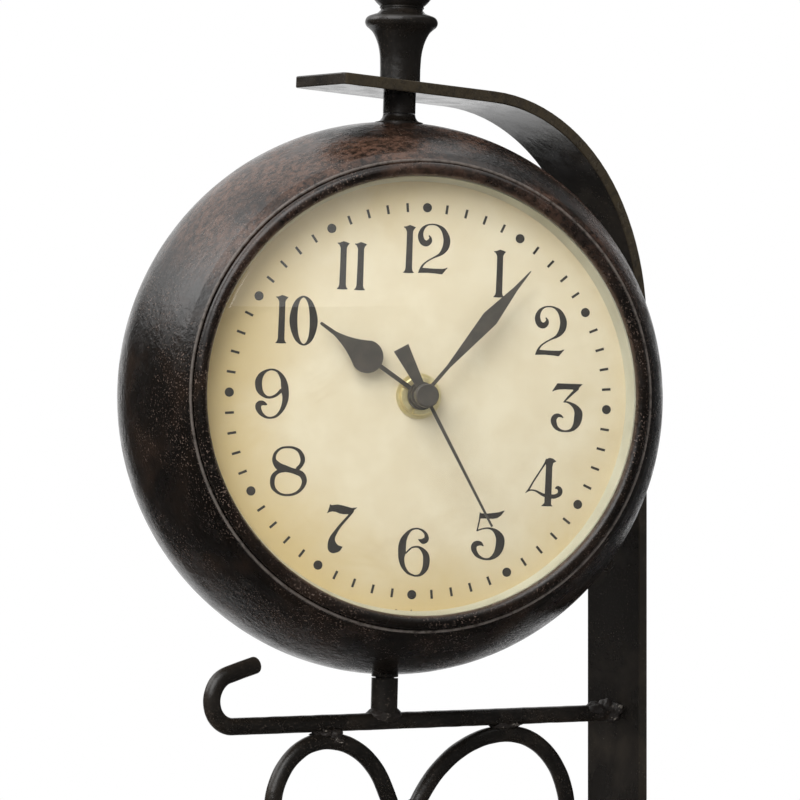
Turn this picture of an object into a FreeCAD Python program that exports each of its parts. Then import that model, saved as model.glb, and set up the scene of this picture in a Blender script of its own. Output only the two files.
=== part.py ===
import FreeCAD, Part
import math
import os

# Double sided station clock on a wrought wall bracket. All lengths are millimetres, all angles degrees.
#
# The row frame: the bracket's strap lies on the wall at x = 0 and +X points into the wall. The clock head
# turns on an axis through x = -reach, which leans a little to the wall at its top. +Z is up, and z = 0 is the
# height of both dial centres. The bracket lies in the plane y = 0. The front dial looks towards -Y, turned by
# head_turn about the axis.
#
# Each face of the clock is drawn in its own frame: x to the viewer's right, y up, z out of the dial,
# measured from the middle plane of the case. facing() then puts it on the head.

Vec = FreeCAD.Vector

# ---- driving dimensions ------------------------------------------------------------------------------

# the head between strap, arm and rail
case_radius = 95.0
wall_gap = 8.4              # case to strap at the dial's height
arm_gap = 9.13              # case to the arm's underside, along the axis
rail_gap = 16.0             # case to the rail's centre line
head_lean = 1.9             # the axis leans to the wall at its top, as the arm and the rail aren't quite level
head_turn = -27.2           # rest angle of the head about the axis, from the bracket's own plane

# bracket
strap_width = 27.4
strap_thickness = 4.0
arch_radius = 88.4          # outer radius of the strap's arch, above the wall
arch_turn = 29.5            # how far the bend goes on at that radius
shoulder_bend = 73.9        # outer radius of the rest of the arch
arm_rise = 3.0              # the arm climbs by this angle from the arch to its end
arm_overhang = 32.2         # axis to the end of the arm
arm_corner = 2.0
strap_drop = 144.0          # rail to the lower end of the strap
strap_corner = 5.0
strap_edge = 0.5            # softened long edges
rod_radius = 3.0            # round bar of the rail and both scrolls
rail_rise = 0.96            # the rail climbs by this angle from the strap to its hook
rail_overhang = 67.8        # axis to the centre of the hook's bend
hook_radius = 10.5
hook_turn = 168.0
hook_tail = 9.0
rod_tip_round = 1.2
screw_hole_radius = 2.75    # two holes in the strap for wall screws
upper_screw = 14.0          # height of the upper hole
lower_screw_margin = 10.0   # strap's end to the lower hole

reach = case_radius + wall_gap + strap_thickness     # wall to the axis that the head turns on
rail_height = -case_radius - rail_gap                # centre of the rail on the axis
strap_foot = rail_height - strap_drop
screw_holes = (upper_screw, strap_foot + lower_screw_margin)

# scrolls under the rail, measured along the rail from the axis
front_scroll_top = -29.4    # where the small scroll touches the rail
front_curl = ((22.5, 180.0), (15.0, 100.0))      # (radius, turn) of each bend of its curl
front_shoulder = (29.0, 64.0)
front_leg = 18.0            # straight length between the shoulder and the long sweep
front_sweep = 62.0
front_tail = 8.0            # length that lies against the strap
rear_scroll_top = 52.0      # where the large scroll touches the rail
rear_curl = ((29.7, 180.0), (22.0, 90.0), (13.0, 70.0))
rear_leg = (46.5, 72.0)

# swivel
stem_radius = 5.6           # tube under the arm
socket_radius = 4.6         # tube on the rail
socket_wall = 2.5           # metal left under the socket's blind bore
spindle_radius = 3.0        # bolt that hangs the head on the arm
pivot_radius = 3.25         # bolt that centres the head in the socket
running_clearance = 0.06    # radial, for every shaft that turns in a bore
loose_clearance = 0.3       # radial, where a bolt only passes through
turning_gap = 0.3           # axial, between faces that turn past each other
collar_height = 2.6
collar_flare = 2.7
bolt_across_flats = 10.0
bolt_head = 4.0
washer_radius = 6.5
washer_thickness = 1.2
spindle_grip = 20.0         # length of the spindle screwed into the finial
pivot_reach = 9.0           # length of the pivot below the case

# finial, turned from the bottom up
finial_foot_radius = 6.95
finial_lip_radius = 12.6
finial_lip_height = 21.1
finial_neck_radius = 7.3
finial_neck_height = 25.0
finial_ball_radius = 12.0
finial_knob_radius = 3.0

# case
belly_radius = 45.0         # roundness of the case at its middle
belly_angle = 16.0
shoulder_radius = 180.0
shoulder_turn = 10.0
crease_radius = 3.0
crease_turn = 11.0
rim_band = 5.8
sheet = 1.2                 # pressed sheet of the case
ridge_radius = 0.8          # rolled edge round each mouth
hoop_half_width = 7.0
hoop_thickness = 1.6
hoop_gap = 0.7              # hoop to case at the middle plane
case_screw_angle = -35.5    # seen from the front, from the three o'clock line
case_screw_offset = 2.0
case_screw_radius = 1.5
case_screw_head = (3.0, 2.6)     # radius and height
case_screw_length = 8.0

# face unit, one on each side; heights are measured out from the middle plane of the case
dial_thickness = 0.8
bezel_inset = 0.3           # bezel's outer edge inside the case mouth's edge
bezel_width = 4.5
bezel_stand = 1.4           # bezel's lip over the case mouth
bezel_crown = 2.5
bezel_seat = 0.3            # bezel's edge over the case mouth
dial_drop = 8.2             # bezel's lip to the dial's front
skirt_thickness = 1.0
skirt_depth = 12.5
glass_thickness = 1.6
glass_rise = 10.5           # height of the dome over its rim
seat_gap = 0.1              # glass, ring and dial inside the skirt
ring_slope = 1.5            # how far the pale ring comes in from the lip to the dial
retainer_thickness = 1.5
retainer_width = 4.0

# movement
housing_size = 56.0
housing_corner = 5.0
housing_depth = 16.0
rubber_thickness = 1.0
rubber_radius = 9.0
bushing_radius = 4.0
bushing_stand = 3.4         # bushing over the dial
dial_washer_radius = 7.7
dial_washer_thickness = 0.6
dial_nut_radius = 6.6
dial_nut_height = 2.3
nut_slot = 1.2
nut_slots = 4
bay_size = (53.2, 15.4, 14.8)    # battery bay: length, width, depth
bay_margin = 1.8            # wall under the bay
cover_thickness = 1.4
button_radius = 2.0
button_travel = 0.8
button_stand = 1.2          # button over its cover
button_flange = (2.7, 0.8)
button_place = (16.0, 14.0)
battery_radius = 7.1
battery_length = 49.4
battery_nub = (2.75, 1.3)
contact_thickness = 0.4
contact_size = (9.0, 11.0)
antenna_radius = 4.0
antenna_length = 50.0
antenna_lug = (4.0, 10.0)
antenna_lug_place = 20.0
antenna_drop = 6.5          # rod's axis over the housing's top edge
coil_radius = 5.2
coil_length = 26.0

# hands: each rides on its own tube, one inside the other
hour_tube_radius = 2.6
tube_wall = 0.85
minute_tube_radius = hour_tube_radius - tube_wall - running_clearance
second_arbor_radius = minute_tube_radius - tube_wall - running_clearance
tube_depth = 6.0            # dial to the inner end of the hour tube
blade = 0.5                 # thickness of a hand
hour_stand = 3.8            # dial to the underside of each hand's blade
minute_stand = 6.9
second_stand = 10.0
hour_hub = (4.7, 1.3)       # radius and height
minute_hub = (4.2, 1.8)
second_cap = (4.0, 3.0)
collet_radius = 1.6
hour_hand_length = 42.0
hour_drop_radius = 5.5      # round body of the pear shape
hour_drop_place = 22.6
hour_neck_width = 4.7       # the pear's taper part of the way to the tip
hour_neck_place = 7.4
hour_tip_width = 1.4        # where the taper ends and the point goes on
hour_tip_place = 13.4
hour_point = 0.5            # round end of the point
hour_shaft = 1.45
minute_hand_length = 55.8
minute_widest = (34.6, 5.6)      # place and width of the diamond's widest point
minute_taper_from = 13.0
minute_taper_length = 13.4       # widest point to where the thin point starts
minute_point_width = 1.5
minute_tip_width = 0.3
minute_shaft = 1.2
minute_hub_drop = 0.6       # hub's underside below the blade
second_hand_length = 49.2
second_hand_width = (1.2, 0.7)   # at the hub and at the tip
second_tail_length = 17.9
second_tail_width = (2.2, 5.5)
hour_angle = 302.8          # clockwise from twelve on the dial
minute_angle = 39.1
second_angle = 150.0
dial_set = {"front": 0.9, "rear": 0.0}       # how far each dial sits turned in the case, clockwise

SIDES = ("front", "rear")


# ---- drawing helpers ---------------------------------------------------------------------------------

def polar(radius, angle):
    """The point at an angle in degrees from the first axis."""
    return (radius * math.cos(math.radians(angle)), radius * math.sin(math.radians(angle)))


def upright(point):
    """A drawing point in the bracket's plane, x along it and z up."""
    return Vec(point[0], 0, point[1])


def flat(point):
    """A drawing point in the xy plane."""
    return Vec(point[0], point[1], 0)


class Course:
    """A chain of straight runs and tangent bends in a plane. Headings and turns are in degrees, left positive."""

    def __init__(self, start, heading):
        self.start, self.first_heading = start, heading
        self.at, self.heading = start, heading
        self.steps, self.pieces = [], []

    def run(self, length):
        step = polar(length, self.heading)
        end = (self.at[0] + step[0], self.at[1] + step[1])
        self.pieces.append((self.at, end))
        self.steps.append((length, None))
        self.at = end
        return self

    def bend(self, radius, turn):
        side = math.copysign(1, turn)
        inward = polar(radius * side, self.heading + 90)
        centre = (self.at[0] + inward[0], self.at[1] + inward[1])
        points = [self.at]
        for share in (0.5, 1.0):
            arm = polar(radius * side, self.heading - 90 + turn * share)
            points.append((centre[0] + arm[0], centre[1] + arm[1]))
        self.pieces.append(tuple(points))
        self.steps.append((radius, turn))
        self.at, self.heading = points[-1], self.heading + turn
        return self

    def beside(self, distance):
        """The same course, stepped to the left by a distance."""
        shift = polar(distance, self.first_heading + 90)
        other = Course((self.start[0] + shift[0], self.start[1] + shift[1]), self.first_heading)
        for size, turn in self.steps:
            if turn is None:
                other.run(size)
            else:
                other.bend(size - math.copysign(distance, turn), turn)
        return other

    def edges(self, place=upright):
        return [edge_through(*map(place, piece)) for piece in self.pieces]


def edge_through(*points):
    """A straight edge through two points, or an arc through three."""
    if len(points) == 2:
        return Part.LineSegment(*points).toShape()
    return Part.Arc(*points).toShape()


def outline(start, *steps, place=upright):
    """A closed face: each step is a point to run to, or a pair of points that an arc runs through."""
    at, edges = start, []
    for step in steps + (start,):
        via = step if isinstance(step[0], tuple) else (step,)
        edges.append(edge_through(*map(place, (at,) + via)))
        at = via[-1]
    return Part.Face(Part.Wire(edges))


def strip(course, thickness, place=upright):
    """The face between a course and its own offset to the left."""
    other = course.beside(thickness)
    ends = [Part.LineSegment(place(a), place(b)).toShape()
            for a, b in ((course.start, other.start), (course.at, other.at))]
    return Part.Face(Part.Wire(Part.__sortEdges__(course.edges(place) + other.edges(place) + ends)))


def crown(radius, rise, level=0.0):
    """The step over a round face from its edge to its middle, part of a true sphere."""
    sphere = (radius ** 2 + rise ** 2) / (2 * rise)
    half = math.asin(radius / sphere) / 2
    low = level + rise - sphere
    return ((sphere * math.sin(half), low + sphere * math.cos(half)), (0, level + rise))


def turned(face):
    """A face in the xz plane, turned round the z axis."""
    return face.revolve(Vec(0, 0, 0), Vec(0, 0, 1), 360)


def disc(radius, low, high):
    return Part.makeCylinder(radius, high - low, Vec(0, 0, low))


def ring(outer, inner, low, high):
    return disc(outer, low, high).cut(disc(inner, low, high))


def block(size, centre, low, high):
    """A box by its two sides, its centre and its lower and upper face."""
    corner = Vec(centre[0] - size[0] / 2, centre[1] - size[1] / 2, low)
    return Part.makeBox(size[0], size[1], high - low, corner)


def rod(edges, radius):
    """Round bar that follows a chain of edges."""
    path = Part.Wire(Part.__sortEdges__(edges))
    start = path.OrderedEdges[0]
    here = start.firstVertex(True).Point
    heading = start.tangentAt(start.getParameterByLength(0))
    if start.Orientation == "Reversed":
        heading = start.tangentAt(start.getParameterByLength(start.Length)).negative()
    section = Part.Wire(Part.Circle(here, heading, radius).toShape())
    return path.makePipeShell([section], True, False)


def rounded_end(shape, end, size):
    """Softens the edge round the end of a rod."""
    rim = [edge for edge in shape.Edges
           if (edge.BoundBox.Center - end).Length < size and edge.isClosed()]
    return shape.makeFillet(size, rim)


# ---- sizes that follow from the case -----------------------------------------------------------------

def mouth():
    """Half of the case's outside, from the middle plane to the front mouth, as radius and height."""
    course = Course((case_radius, 0), 90).bend(belly_radius, belly_angle)
    return course.bend(shoulder_radius, shoulder_turn).bend(crease_radius, crease_turn).run(rim_band)


mouth_radius, mouth_level = mouth().at
skirt_radius = mouth_radius - sheet
bezel_radius = mouth_radius - bezel_inset
bezel_lip_radius = bezel_radius - bezel_width        # the round opening that the dial shows through
bezel_lip_level = mouth_level + bezel_stand
ring_foot_radius = bezel_lip_radius - ring_slope     # where the pale ring meets the dial
dial_level = bezel_lip_level - dial_drop             # front surface of the dial
bushing_top = dial_level + bushing_stand
tube_root = dial_level - tube_depth                  # inner end of the hour tube
hour_level = dial_level + hour_stand                 # underside of each hand's blade
minute_level = dial_level + minute_stand
second_level = dial_level + second_stand


# ---- placing -----------------------------------------------------------------------------------------

def on_axis(shape):
    """Moves a shape from the z axis to the axis that the head turns on."""
    return shape.rotated(Vec(0, 0, 0), Vec(0, 1, 0), head_lean).translated(Vec(-reach, 0, 0))


def on_head(shape):
    """Turns a shape with the head and moves it to the head's axis."""
    return on_axis(shape.rotated(Vec(0, 0, 0), Vec(0, 0, 1), head_turn))


def facing(shape, side):
    """Puts a shape from a face's own frame on the front or the rear of the head."""
    shape = shape.rotated(Vec(0, 0, 0), Vec(1, 0, 0), 90)
    if side == "rear":
        shape = shape.rotated(Vec(0, 0, 0), Vec(0, 0, 1), 180)
    return on_head(shape)


# ---- bracket -----------------------------------------------------------------------------------------

def arm_top():
    """Distance along the leaning axis from the dial's centre to the arm's upper side."""
    return case_radius + arm_gap + strap_thickness / math.cos(math.radians(arm_rise - head_lean))


def arch(start):
    return Course(start, 90).bend(arch_radius, arch_turn).bend(shoulder_bend, 90 - arch_turn - arm_rise)


def arch_height():
    """Height where the arch starts, so that the arm crosses the axis at arm_top()."""
    rise, lean = math.radians(arm_rise), math.radians(head_lean)
    end = arch((0, 0)).at
    crossing = arm_top() * math.cos(rise - lean)
    return (crossing - (end[0] + reach) * math.sin(rise)) / math.cos(rise) - end[1]


def strap_back():
    """The strap's wall side and upper side, from its foot up round the arch to the end of the arm."""
    straight = Course((0, strap_foot), 90).run(arch_height() - strap_foot)
    course = straight.bend(arch_radius, arch_turn).bend(shoulder_bend, 90 - arch_turn - arm_rise)
    return course.run((course.at[0] + reach + arm_overhang) / math.cos(math.radians(arm_rise)))


def across_strap(strap, end):
    """The two short edges through the strap's thickness at one of its ends."""
    return [edge for edge in strap.Edges
            if edge.BoundBox.YLength < 1e-6 and (edge.BoundBox.Center - end).Length < strap_width * 0.6
            and abs(edge.Length - strap_thickness) < 1e-6]


def wall_strap():
    course = strap_back()
    strap = strip(course, strap_thickness).extrude(Vec(0, strap_width, 0)).translated(Vec(0, -strap_width / 2, 0))
    strap = strap.makeFillet(strap_corner, across_strap(strap, upright(course.start)))
    strap = strap.makeFillet(arm_corner, across_strap(strap, upright(course.at)))
    front = [edge for edge in strap.Edges
             if edge.BoundBox.YLength < 1e-6 and edge.Length > strap_corner * 2]
    strap = strap.makeFillet(strap_edge, front)
    for height in screw_holes:
        strap = strap.cut(Part.makeCylinder(screw_hole_radius, strap_thickness * 2,
                                            Vec(-strap_thickness * 1.5, 0, height), Vec(1, 0, 0)))
    return strap.cut(on_axis(disc(spindle_radius + loose_clearance, 0, arm_top() + strap_thickness)))


def rail_at(place):
    """A point of the rail's centre line, by its place along it from the axis."""
    along = polar(place, -rail_rise)
    return (along[0] - reach, rail_height + along[1])


def bottom_rail():
    """The rail from the strap to the hook at its free end."""
    start = rail_at(reach - strap_thickness / 2)
    course = Course(start, 180 - rail_rise)
    course.run(math.dist(start, rail_at(-rail_overhang))).bend(hook_radius, -hook_turn).run(hook_tail)
    shape = rounded_end(rod(course.edges(), rod_radius), upright(course.at), rod_tip_round)
    return shape.cut(wall_strap())


def scroll_contact(place):
    """The centre of a scroll's rod where it touches the rail from below."""
    below = polar(2 * rod_radius, -90 - rail_rise)
    at = rail_at(place)
    return (at[0] + below[0], at[1] + below[1])


def curl(course, bends, side):
    for radius, turn in bends:
        course.bend(radius, side * turn)
    return course


def front_scroll_leg():
    """From the rail down the leg and along the long sweep that ends upright against the strap."""
    radius, turn = front_shoulder
    course = Course(scroll_contact(front_scroll_top), -rail_rise).bend(radius, rail_rise - turn).run(front_leg)
    course.bend(front_sweep, turn)
    landing = -strap_thickness - rod_radius - course.at[0]
    return course.bend(landing, -90).run(front_tail)


def front_scroll():
    tip = curl(Course(scroll_contact(front_scroll_top), 180 - rail_rise), front_curl, 1)
    shape = rod(tip.edges() + front_scroll_leg().edges(), rod_radius)
    return rounded_end(shape, upright(tip.at), rod_tip_round)


def rear_scroll():
    tip = curl(Course(scroll_contact(rear_scroll_top), -rail_rise), rear_curl, -1)
    leg = Course(scroll_contact(rear_scroll_top), 180 - rail_rise).bend(*rear_leg)
    shape = rod(tip.edges() + leg.edges(), rod_radius)
    shape = rounded_end(shape, upright(tip.at), rod_tip_round)
    coped = shape.cut(front_scroll())
    return max(coped.Solids, key=lambda solid: solid.Volume)


def collar_top():
    return case_radius + collar_height


def upper_stem():
    tube = ring(stem_radius, spindle_radius + running_clearance, collar_top() + turning_gap, arm_top())
    coped = on_axis(tube).cut(wall_strap())
    return min(coped.Solids, key=lambda solid: solid.BoundBox.ZMin)


def socket_top():
    return -case_radius - washer_thickness


def lower_socket():
    bore_end = rail_height + rod_radius + socket_wall
    tube = disc(socket_radius, rail_height, socket_top())
    tube = tube.cut(disc(pivot_radius + running_clearance, bore_end, socket_top()))
    coped = on_axis(tube).cut(bottom_rail())
    return max(coped.Solids, key=lambda solid: solid.BoundBox.ZMax)


# ---- swivel and case ---------------------------------------------------------------------------------

def case_outside():
    """The whole outside, from the rear mouth to the front one."""
    half = mouth()
    course = Course((half.at[0], -half.at[1]), 180 - half.heading).run(rim_band)
    course.bend(crease_radius, crease_turn).bend(shoulder_radius, shoulder_turn)
    course.bend(belly_radius, 2 * belly_angle).bend(shoulder_radius, shoulder_turn)
    return course.bend(crease_radius, crease_turn).run(rim_band)


def case_block():
    """The case as if it were solid, in the face's frame."""
    course = case_outside()
    ends = ((0, course.start[1]), (0, course.at[1]))
    edges = course.edges() + [edge_through(*map(upright, pair))
                              for pair in ((course.start, ends[0]), ends, (ends[1], course.at))]
    return turned(Part.Face(Part.Wire(Part.__sortEdges__(edges))))


def case_screw(clearance=0.0):
    """The screw's own shape along z, with its head's underside at z = 0."""
    radius, height = case_screw_head
    shank = disc(case_screw_radius + clearance, -case_screw_length, 0)
    if clearance:
        return shank
    dome = outline((0, 0), (radius, 0), crown(radius, height))
    return shank.fuse(turned(dome)).removeSplitter()


def at_case_screw(shape):
    """Turns a shape from the z axis to the screw's place on the case."""
    shape = shape.translated(Vec(0, 0, case_radius)).rotated(Vec(0, 0, 0), Vec(0, 1, 0), 90)
    shape = shape.rotated(Vec(0, 0, 0), Vec(0, 0, 1), case_screw_angle)
    return facing(shape.translated(Vec(0, 0, case_screw_offset)), "front")


def bolt_holes(clearance):
    """The upright holes for the spindle above and the pivot below."""
    upper = disc(spindle_radius + clearance, 0, case_radius * 2)
    lower = disc(pivot_radius + clearance, -case_radius * 2, 0)
    return on_axis(upper.fuse(lower))


def case_shell():
    shell = turned(strip(case_outside(), sheet))
    for level in (mouth_level, -mouth_level):
        shell = shell.fuse(Part.makeTorus(mouth_radius + ridge_radius / 2, ridge_radius, Vec(0, 0, level)))
    shell = facing(shell, "front").cut(bolt_holes(seat_gap))
    return shell.cut(at_case_screw(case_screw(seat_gap)))


def hoop_outer():
    return case_radius - sheet - hoop_gap


def hoop_inner():
    return hoop_outer() - hoop_thickness


def case_hoop():
    """The band inside the case's middle that both bolts and the screw pull against."""
    hoop = facing(ring(hoop_outer(), hoop_inner(), -hoop_half_width, hoop_half_width), "front")
    return hoop.cut(bolt_holes(seat_gap)).cut(at_case_screw(disc(case_screw_radius, -case_screw_length, 0)))


def washer_seat():
    """Height where a flat washer meets the round inside of the hoop."""
    return math.sqrt(hoop_inner() ** 2 - washer_radius ** 2)


def bolt(radius, tip):
    """A hexagon bolt along z: its head lies inside the case, its shank runs out to the tip."""
    start = washer_seat() - washer_thickness
    corner = bolt_across_flats / math.sqrt(3)
    corners = [polar(corner, 60 * step) for step in range(6)]
    head = outline(*corners, place=flat).extrude(Vec(0, 0, bolt_head)).translated(Vec(0, 0, start - bolt_head))
    return head.fuse(disc(radius, start, tip)).removeSplitter()


def finial_seat():
    """Just over the highest edge of the arm under the finial's foot."""
    return arm_top() + finial_foot_radius * math.tan(math.radians(abs(arm_rise - head_lean))) + seat_gap


def spindle():
    return on_axis(bolt(spindle_radius, finial_seat() + spindle_grip))


def pivot():
    return on_axis(upside_down(bolt(pivot_radius, case_radius + pivot_reach)))


def upside_down(shape):
    return shape.rotated(Vec(0, 0, 0), Vec(1, 0, 0), 180)


def bolt_washers():
    seat = washer_seat()
    upper = ring(washer_radius, spindle_radius, seat - washer_thickness, seat)
    lower = upside_down(ring(washer_radius, pivot_radius, seat - washer_thickness, seat))
    return Part.makeCompound([on_axis(upper), on_axis(lower)])


def stem_collar():
    """The flared foot between the case and the tube, cut to the case's round back."""
    top, foot = collar_top(), stem_radius + collar_flare
    skirt = case_radius - collar_flare
    flare = polar(collar_flare, 225)
    section = outline((spindle_radius, skirt), (foot, skirt), (foot, top - collar_flare),
                      ((foot + flare[0], top + flare[1]), (stem_radius, top)), (spindle_radius, top))
    return on_axis(turned(section)).cut(facing(case_block(), "front"))


def finial():
    foot, lip, neck = finial_foot_radius, finial_lip_radius, finial_neck_radius
    ball_centre = finial_neck_height + math.sqrt(finial_ball_radius ** 2 - neck ** 2) + 1.4
    cap = finial_knob_radius * 1.4
    cap_height = ball_centre + math.sqrt(finial_ball_radius ** 2 - cap ** 2)
    knob_centre = cap_height + finial_knob_radius * 1.4
    knob_foot = polar(finial_knob_radius, -55)
    profile = outline(
        (0, 0), (foot, 0), (foot, 5.0),
        ((foot + 1.35, finial_lip_height - 6.6), (lip - 1.6, finial_lip_height - 2.2)),
        ((lip, finial_lip_height + 0.1), (lip - 1.4, finial_lip_height + 2.3)),
        ((neck + 1.0, finial_neck_height - 0.8), (neck, finial_neck_height)),
        (neck, finial_neck_height + 1.4),
        ((finial_ball_radius, ball_centre), (cap, cap_height)),
        (knob_foot[0], cap_height), (knob_foot[0], knob_centre + knob_foot[1]),
        ((finial_knob_radius, knob_centre), (0, knob_centre + finial_knob_radius)))
    bore = disc(spindle_radius, 0, spindle_grip)
    return on_axis(turned(profile).cut(bore).translated(Vec(0, 0, finial_seat())))


# ---- face unit ---------------------------------------------------------------------------------------

def bore_radius():
    """Inside radius of the bezel's skirt, less the gap that lets the glass and dial drop in."""
    return skirt_radius - skirt_thickness - seat_gap


def bezel():
    """The rolled bead round the dial and the skirt that pushes into the case's mouth."""
    lip, edge, level = bezel_lip_radius, bezel_radius, bezel_lip_level
    seat = mouth_level + ridge_radius + bezel_seat
    skirt_end = level - skirt_depth
    section = outline(
        (lip, level), (((lip + edge) / 2, level + bezel_crown), (edge, level)), (edge, seat),
        (skirt_radius, seat), (skirt_radius, skirt_end), (skirt_radius - skirt_thickness, skirt_end),
        (skirt_radius - skirt_thickness, level))
    return turned(section)


def glass_rim():
    """Lower and upper level of the glass's flat rim under the bezel's lip."""
    return bezel_lip_level - seat_gap - glass_thickness, bezel_lip_level - seat_gap


def glass():
    low, high = glass_rim()
    inner, outer, edge = bezel_lip_radius - 2 * seat_gap, bezel_lip_radius - seat_gap, bore_radius()
    under, over = crown(inner, glass_rise, low), crown(outer, glass_rise, high)
    section = outline((edge, low), (inner, low), under, over[1], (over[0], (outer, high)), (edge, high))
    return turned(section)


def dial_ring():
    """The pale sloping ring between the dial and the glass."""
    low, high = dial_level, glass_rim()[0]
    return turned(outline((ring_foot_radius, low), (bore_radius(), low), (bore_radius(), high),
                          (bezel_lip_radius - 0.2, high)))


def dial():
    back = dial_level - dial_thickness
    return ring(bore_radius(), bushing_radius + seat_gap, back, dial_level)


def dial_retainer():
    back = dial_level - dial_thickness
    return ring(bore_radius(), bore_radius() - retainer_width, back - retainer_thickness, back)


# ---- movement ----------------------------------------------------------------------------------------

def housing_front():
    return dial_level - dial_thickness - rubber_thickness


def housing_back():
    return housing_front() - housing_depth


def rubber_washer():
    return ring(rubber_radius, bushing_radius, housing_front(), housing_front() + rubber_thickness)


def dial_washer():
    return ring(dial_washer_radius, bushing_radius, dial_level, dial_level + dial_washer_thickness)


def dial_nut():
    """The round brass nut with slots for a key."""
    low = dial_level + dial_washer_thickness
    nut = ring(dial_nut_radius, bushing_radius, low, low + dial_nut_height)
    for step in range(nut_slots):
        slot = block((dial_nut_radius, nut_slot), (dial_nut_radius, 0), low + dial_nut_height / 2,
                     low + dial_nut_height * 2)
        angle = 360 * step / nut_slots + 60
        nut = nut.cut(slot.rotated(Vec(0, 0, 0), Vec(0, 0, 1), angle))
    return nut


def bay_centre():
    """Height of the battery bay's middle below the movement's centre."""
    return -housing_size / 2 + bay_margin + bay_size[1] / 2


def antenna_line():
    """Place of the antenna rod: height over the centre, and level out from the middle plane."""
    return housing_size / 2 + antenna_drop, housing_back() + housing_depth / 2


def movement_housing():
    back, front = housing_back(), housing_front()
    body = block((housing_size, housing_size), (0, 0), back, front)
    body = body.makeFillet(housing_corner, [edge for edge in body.Edges if edge.BoundBox.ZLength > 1])
    bay = block(bay_size[:2], (0, bay_centre()), back, back + bay_size[2])
    button_well = disc(button_flange[0] + loose_clearance, back, back + 2 * button_flange[1] + 2 * button_travel)
    body = body.cut(bay).cut(button_well.translated(flat(button_place)))
    height, level = antenna_line()
    width, depth = antenna_lug
    for place in (-antenna_lug_place, antenna_lug_place):
        lug = block((width, antenna_drop + antenna_radius + 1), (place, (housing_size + antenna_drop
                    + antenna_radius + 1) / 2), level - depth / 2, level + depth / 2)
        body = body.fuse(lug)
    body = body.cut(along_antenna(disc(antenna_radius, -antenna_length, antenna_length)))
    body = body.fuse(disc(bushing_radius, front, bushing_top))
    return body.cut(disc(hour_tube_radius + running_clearance, tube_root - 2.5, bushing_top))


def movement_cover():
    """The plate behind the works, beside the open battery bay."""
    back = housing_back()
    low_edge = bay_centre() + bay_size[1] / 2 + 0.8
    height = housing_size / 2 - low_edge
    plate = block((housing_size, height), (0, low_edge + height / 2), back - cover_thickness, back)
    corners = [edge for edge in plate.Edges
               if edge.BoundBox.ZLength > 1 and edge.BoundBox.Center.y > low_edge + height / 2]
    plate = plate.makeFillet(housing_corner, corners)
    return plate.cut(disc(button_radius + running_clearance, back - cover_thickness, back)
                     .translated(flat(button_place)))


def set_button():
    """The push button that sets the hands, held in by its flange."""
    back = housing_back()
    top = back - cover_thickness - button_stand
    radius, thickness = button_flange
    stem = disc(button_radius, top, back + seat_gap)
    flange = disc(radius, back + seat_gap, back + seat_gap + thickness)
    return stem.fuse(flange).removeSplitter().translated(flat(button_place))


def lengthwise(shape, height, level):
    """Lays a shape from the z axis along x, at a height and a level."""
    return shape.rotated(Vec(0, 0, 0), Vec(0, 1, 0), 90).translated(Vec(0, height, level))


def along_antenna(shape):
    return lengthwise(shape, *antenna_line())


def in_bay(shape):
    return lengthwise(shape, bay_centre(), housing_back() + battery_radius + seat_gap)


def battery():
    half = battery_length / 2
    radius, length = battery_nub
    return in_bay(disc(battery_radius, -half, half).fuse(disc(radius, half, half + length)).removeSplitter())


def battery_contacts():
    """A flat plate at the battery's nub and a plate with a cone spring at its other end."""
    wall, half = bay_size[0] / 2, battery_length / 2
    low = housing_back() + battery_radius - contact_size[1] / 2
    plates = [Part.makeBox(contact_thickness, contact_size[0], contact_size[1],
                           Vec(side, bay_centre() - contact_size[0] / 2, low))
              for side in (wall - contact_thickness, -wall)]
    spring = Part.makeCone(3.6, 2.4, wall - contact_thickness - half, Vec(0, 0, contact_thickness - wall))
    return Part.makeCompound([plates[0], plates[1].fuse(in_bay(spring))])


def antenna_rod():
    return along_antenna(disc(antenna_radius, -antenna_length / 2, antenna_length / 2))


def antenna_coil():
    return along_antenna(ring(coil_radius, antenna_radius, -coil_length / 2, coil_length / 2))


# ---- hands, drawn pointing to twelve -----------------------------------------------------------------

def hour_blade():
    shaft, place, radius, end = hour_shaft / 2, hour_drop_place, hour_drop_radius, hour_hand_length
    neck, tip, point = hour_neck_width / 2, hour_tip_width / 2, hour_point
    start = place - math.sqrt(radius ** 2 - shaft ** 2)
    top = polar(radius, 20)
    right = [(shaft, 0), (shaft, start), ((radius, place), (top[0], place + top[1])),
             ((neck, place + hour_neck_place), (tip, place + hour_tip_place)),
             (point, end - point), ((0, end), (-point, end - point))]
    left = [(-tip, place + hour_tip_place), ((-neck, place + hour_neck_place), (-top[0], place + top[1])),
            ((-radius, place), (-shaft, start)), (-shaft, 0)]
    return outline(*right, *left, place=flat)


def minute_blade():
    place, width = minute_widest
    shaft, tip, point = minute_shaft / 2, minute_tip_width / 2, minute_point_width / 2
    thin = place + minute_taper_length
    return outline((shaft, 0), (shaft, minute_taper_from), (width / 2, place), (point, thin),
                   (tip, minute_hand_length), (-tip, minute_hand_length), (-point, thin),
                   (-width / 2, place), (-shaft, minute_taper_from), (-shaft, 0), place=flat)


def second_blade():
    hub, tip = (width / 2 for width in second_hand_width)
    near, far = (width / 2 for width in second_tail_width)
    return outline((hub, 0), (tip, second_hand_length), (-tip, second_hand_length), (-hub, 0), (-near, 0),
                   (-far, -second_tail_length), (far, -second_tail_length), (near, 0), place=flat)


def hand(face, hub, bore, low, hub_low):
    """A flat blade with a round hub and the bore that its tube is pressed into."""
    blade_shape = face.extrude(Vec(0, 0, blade)).translated(Vec(0, 0, low))
    radius, height = hub
    blank = blade_shape.fuse(disc(radius, hub_low, hub_low + height)).removeSplitter()
    return blank.cut(disc(bore, 0, hub_low + height))


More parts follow.
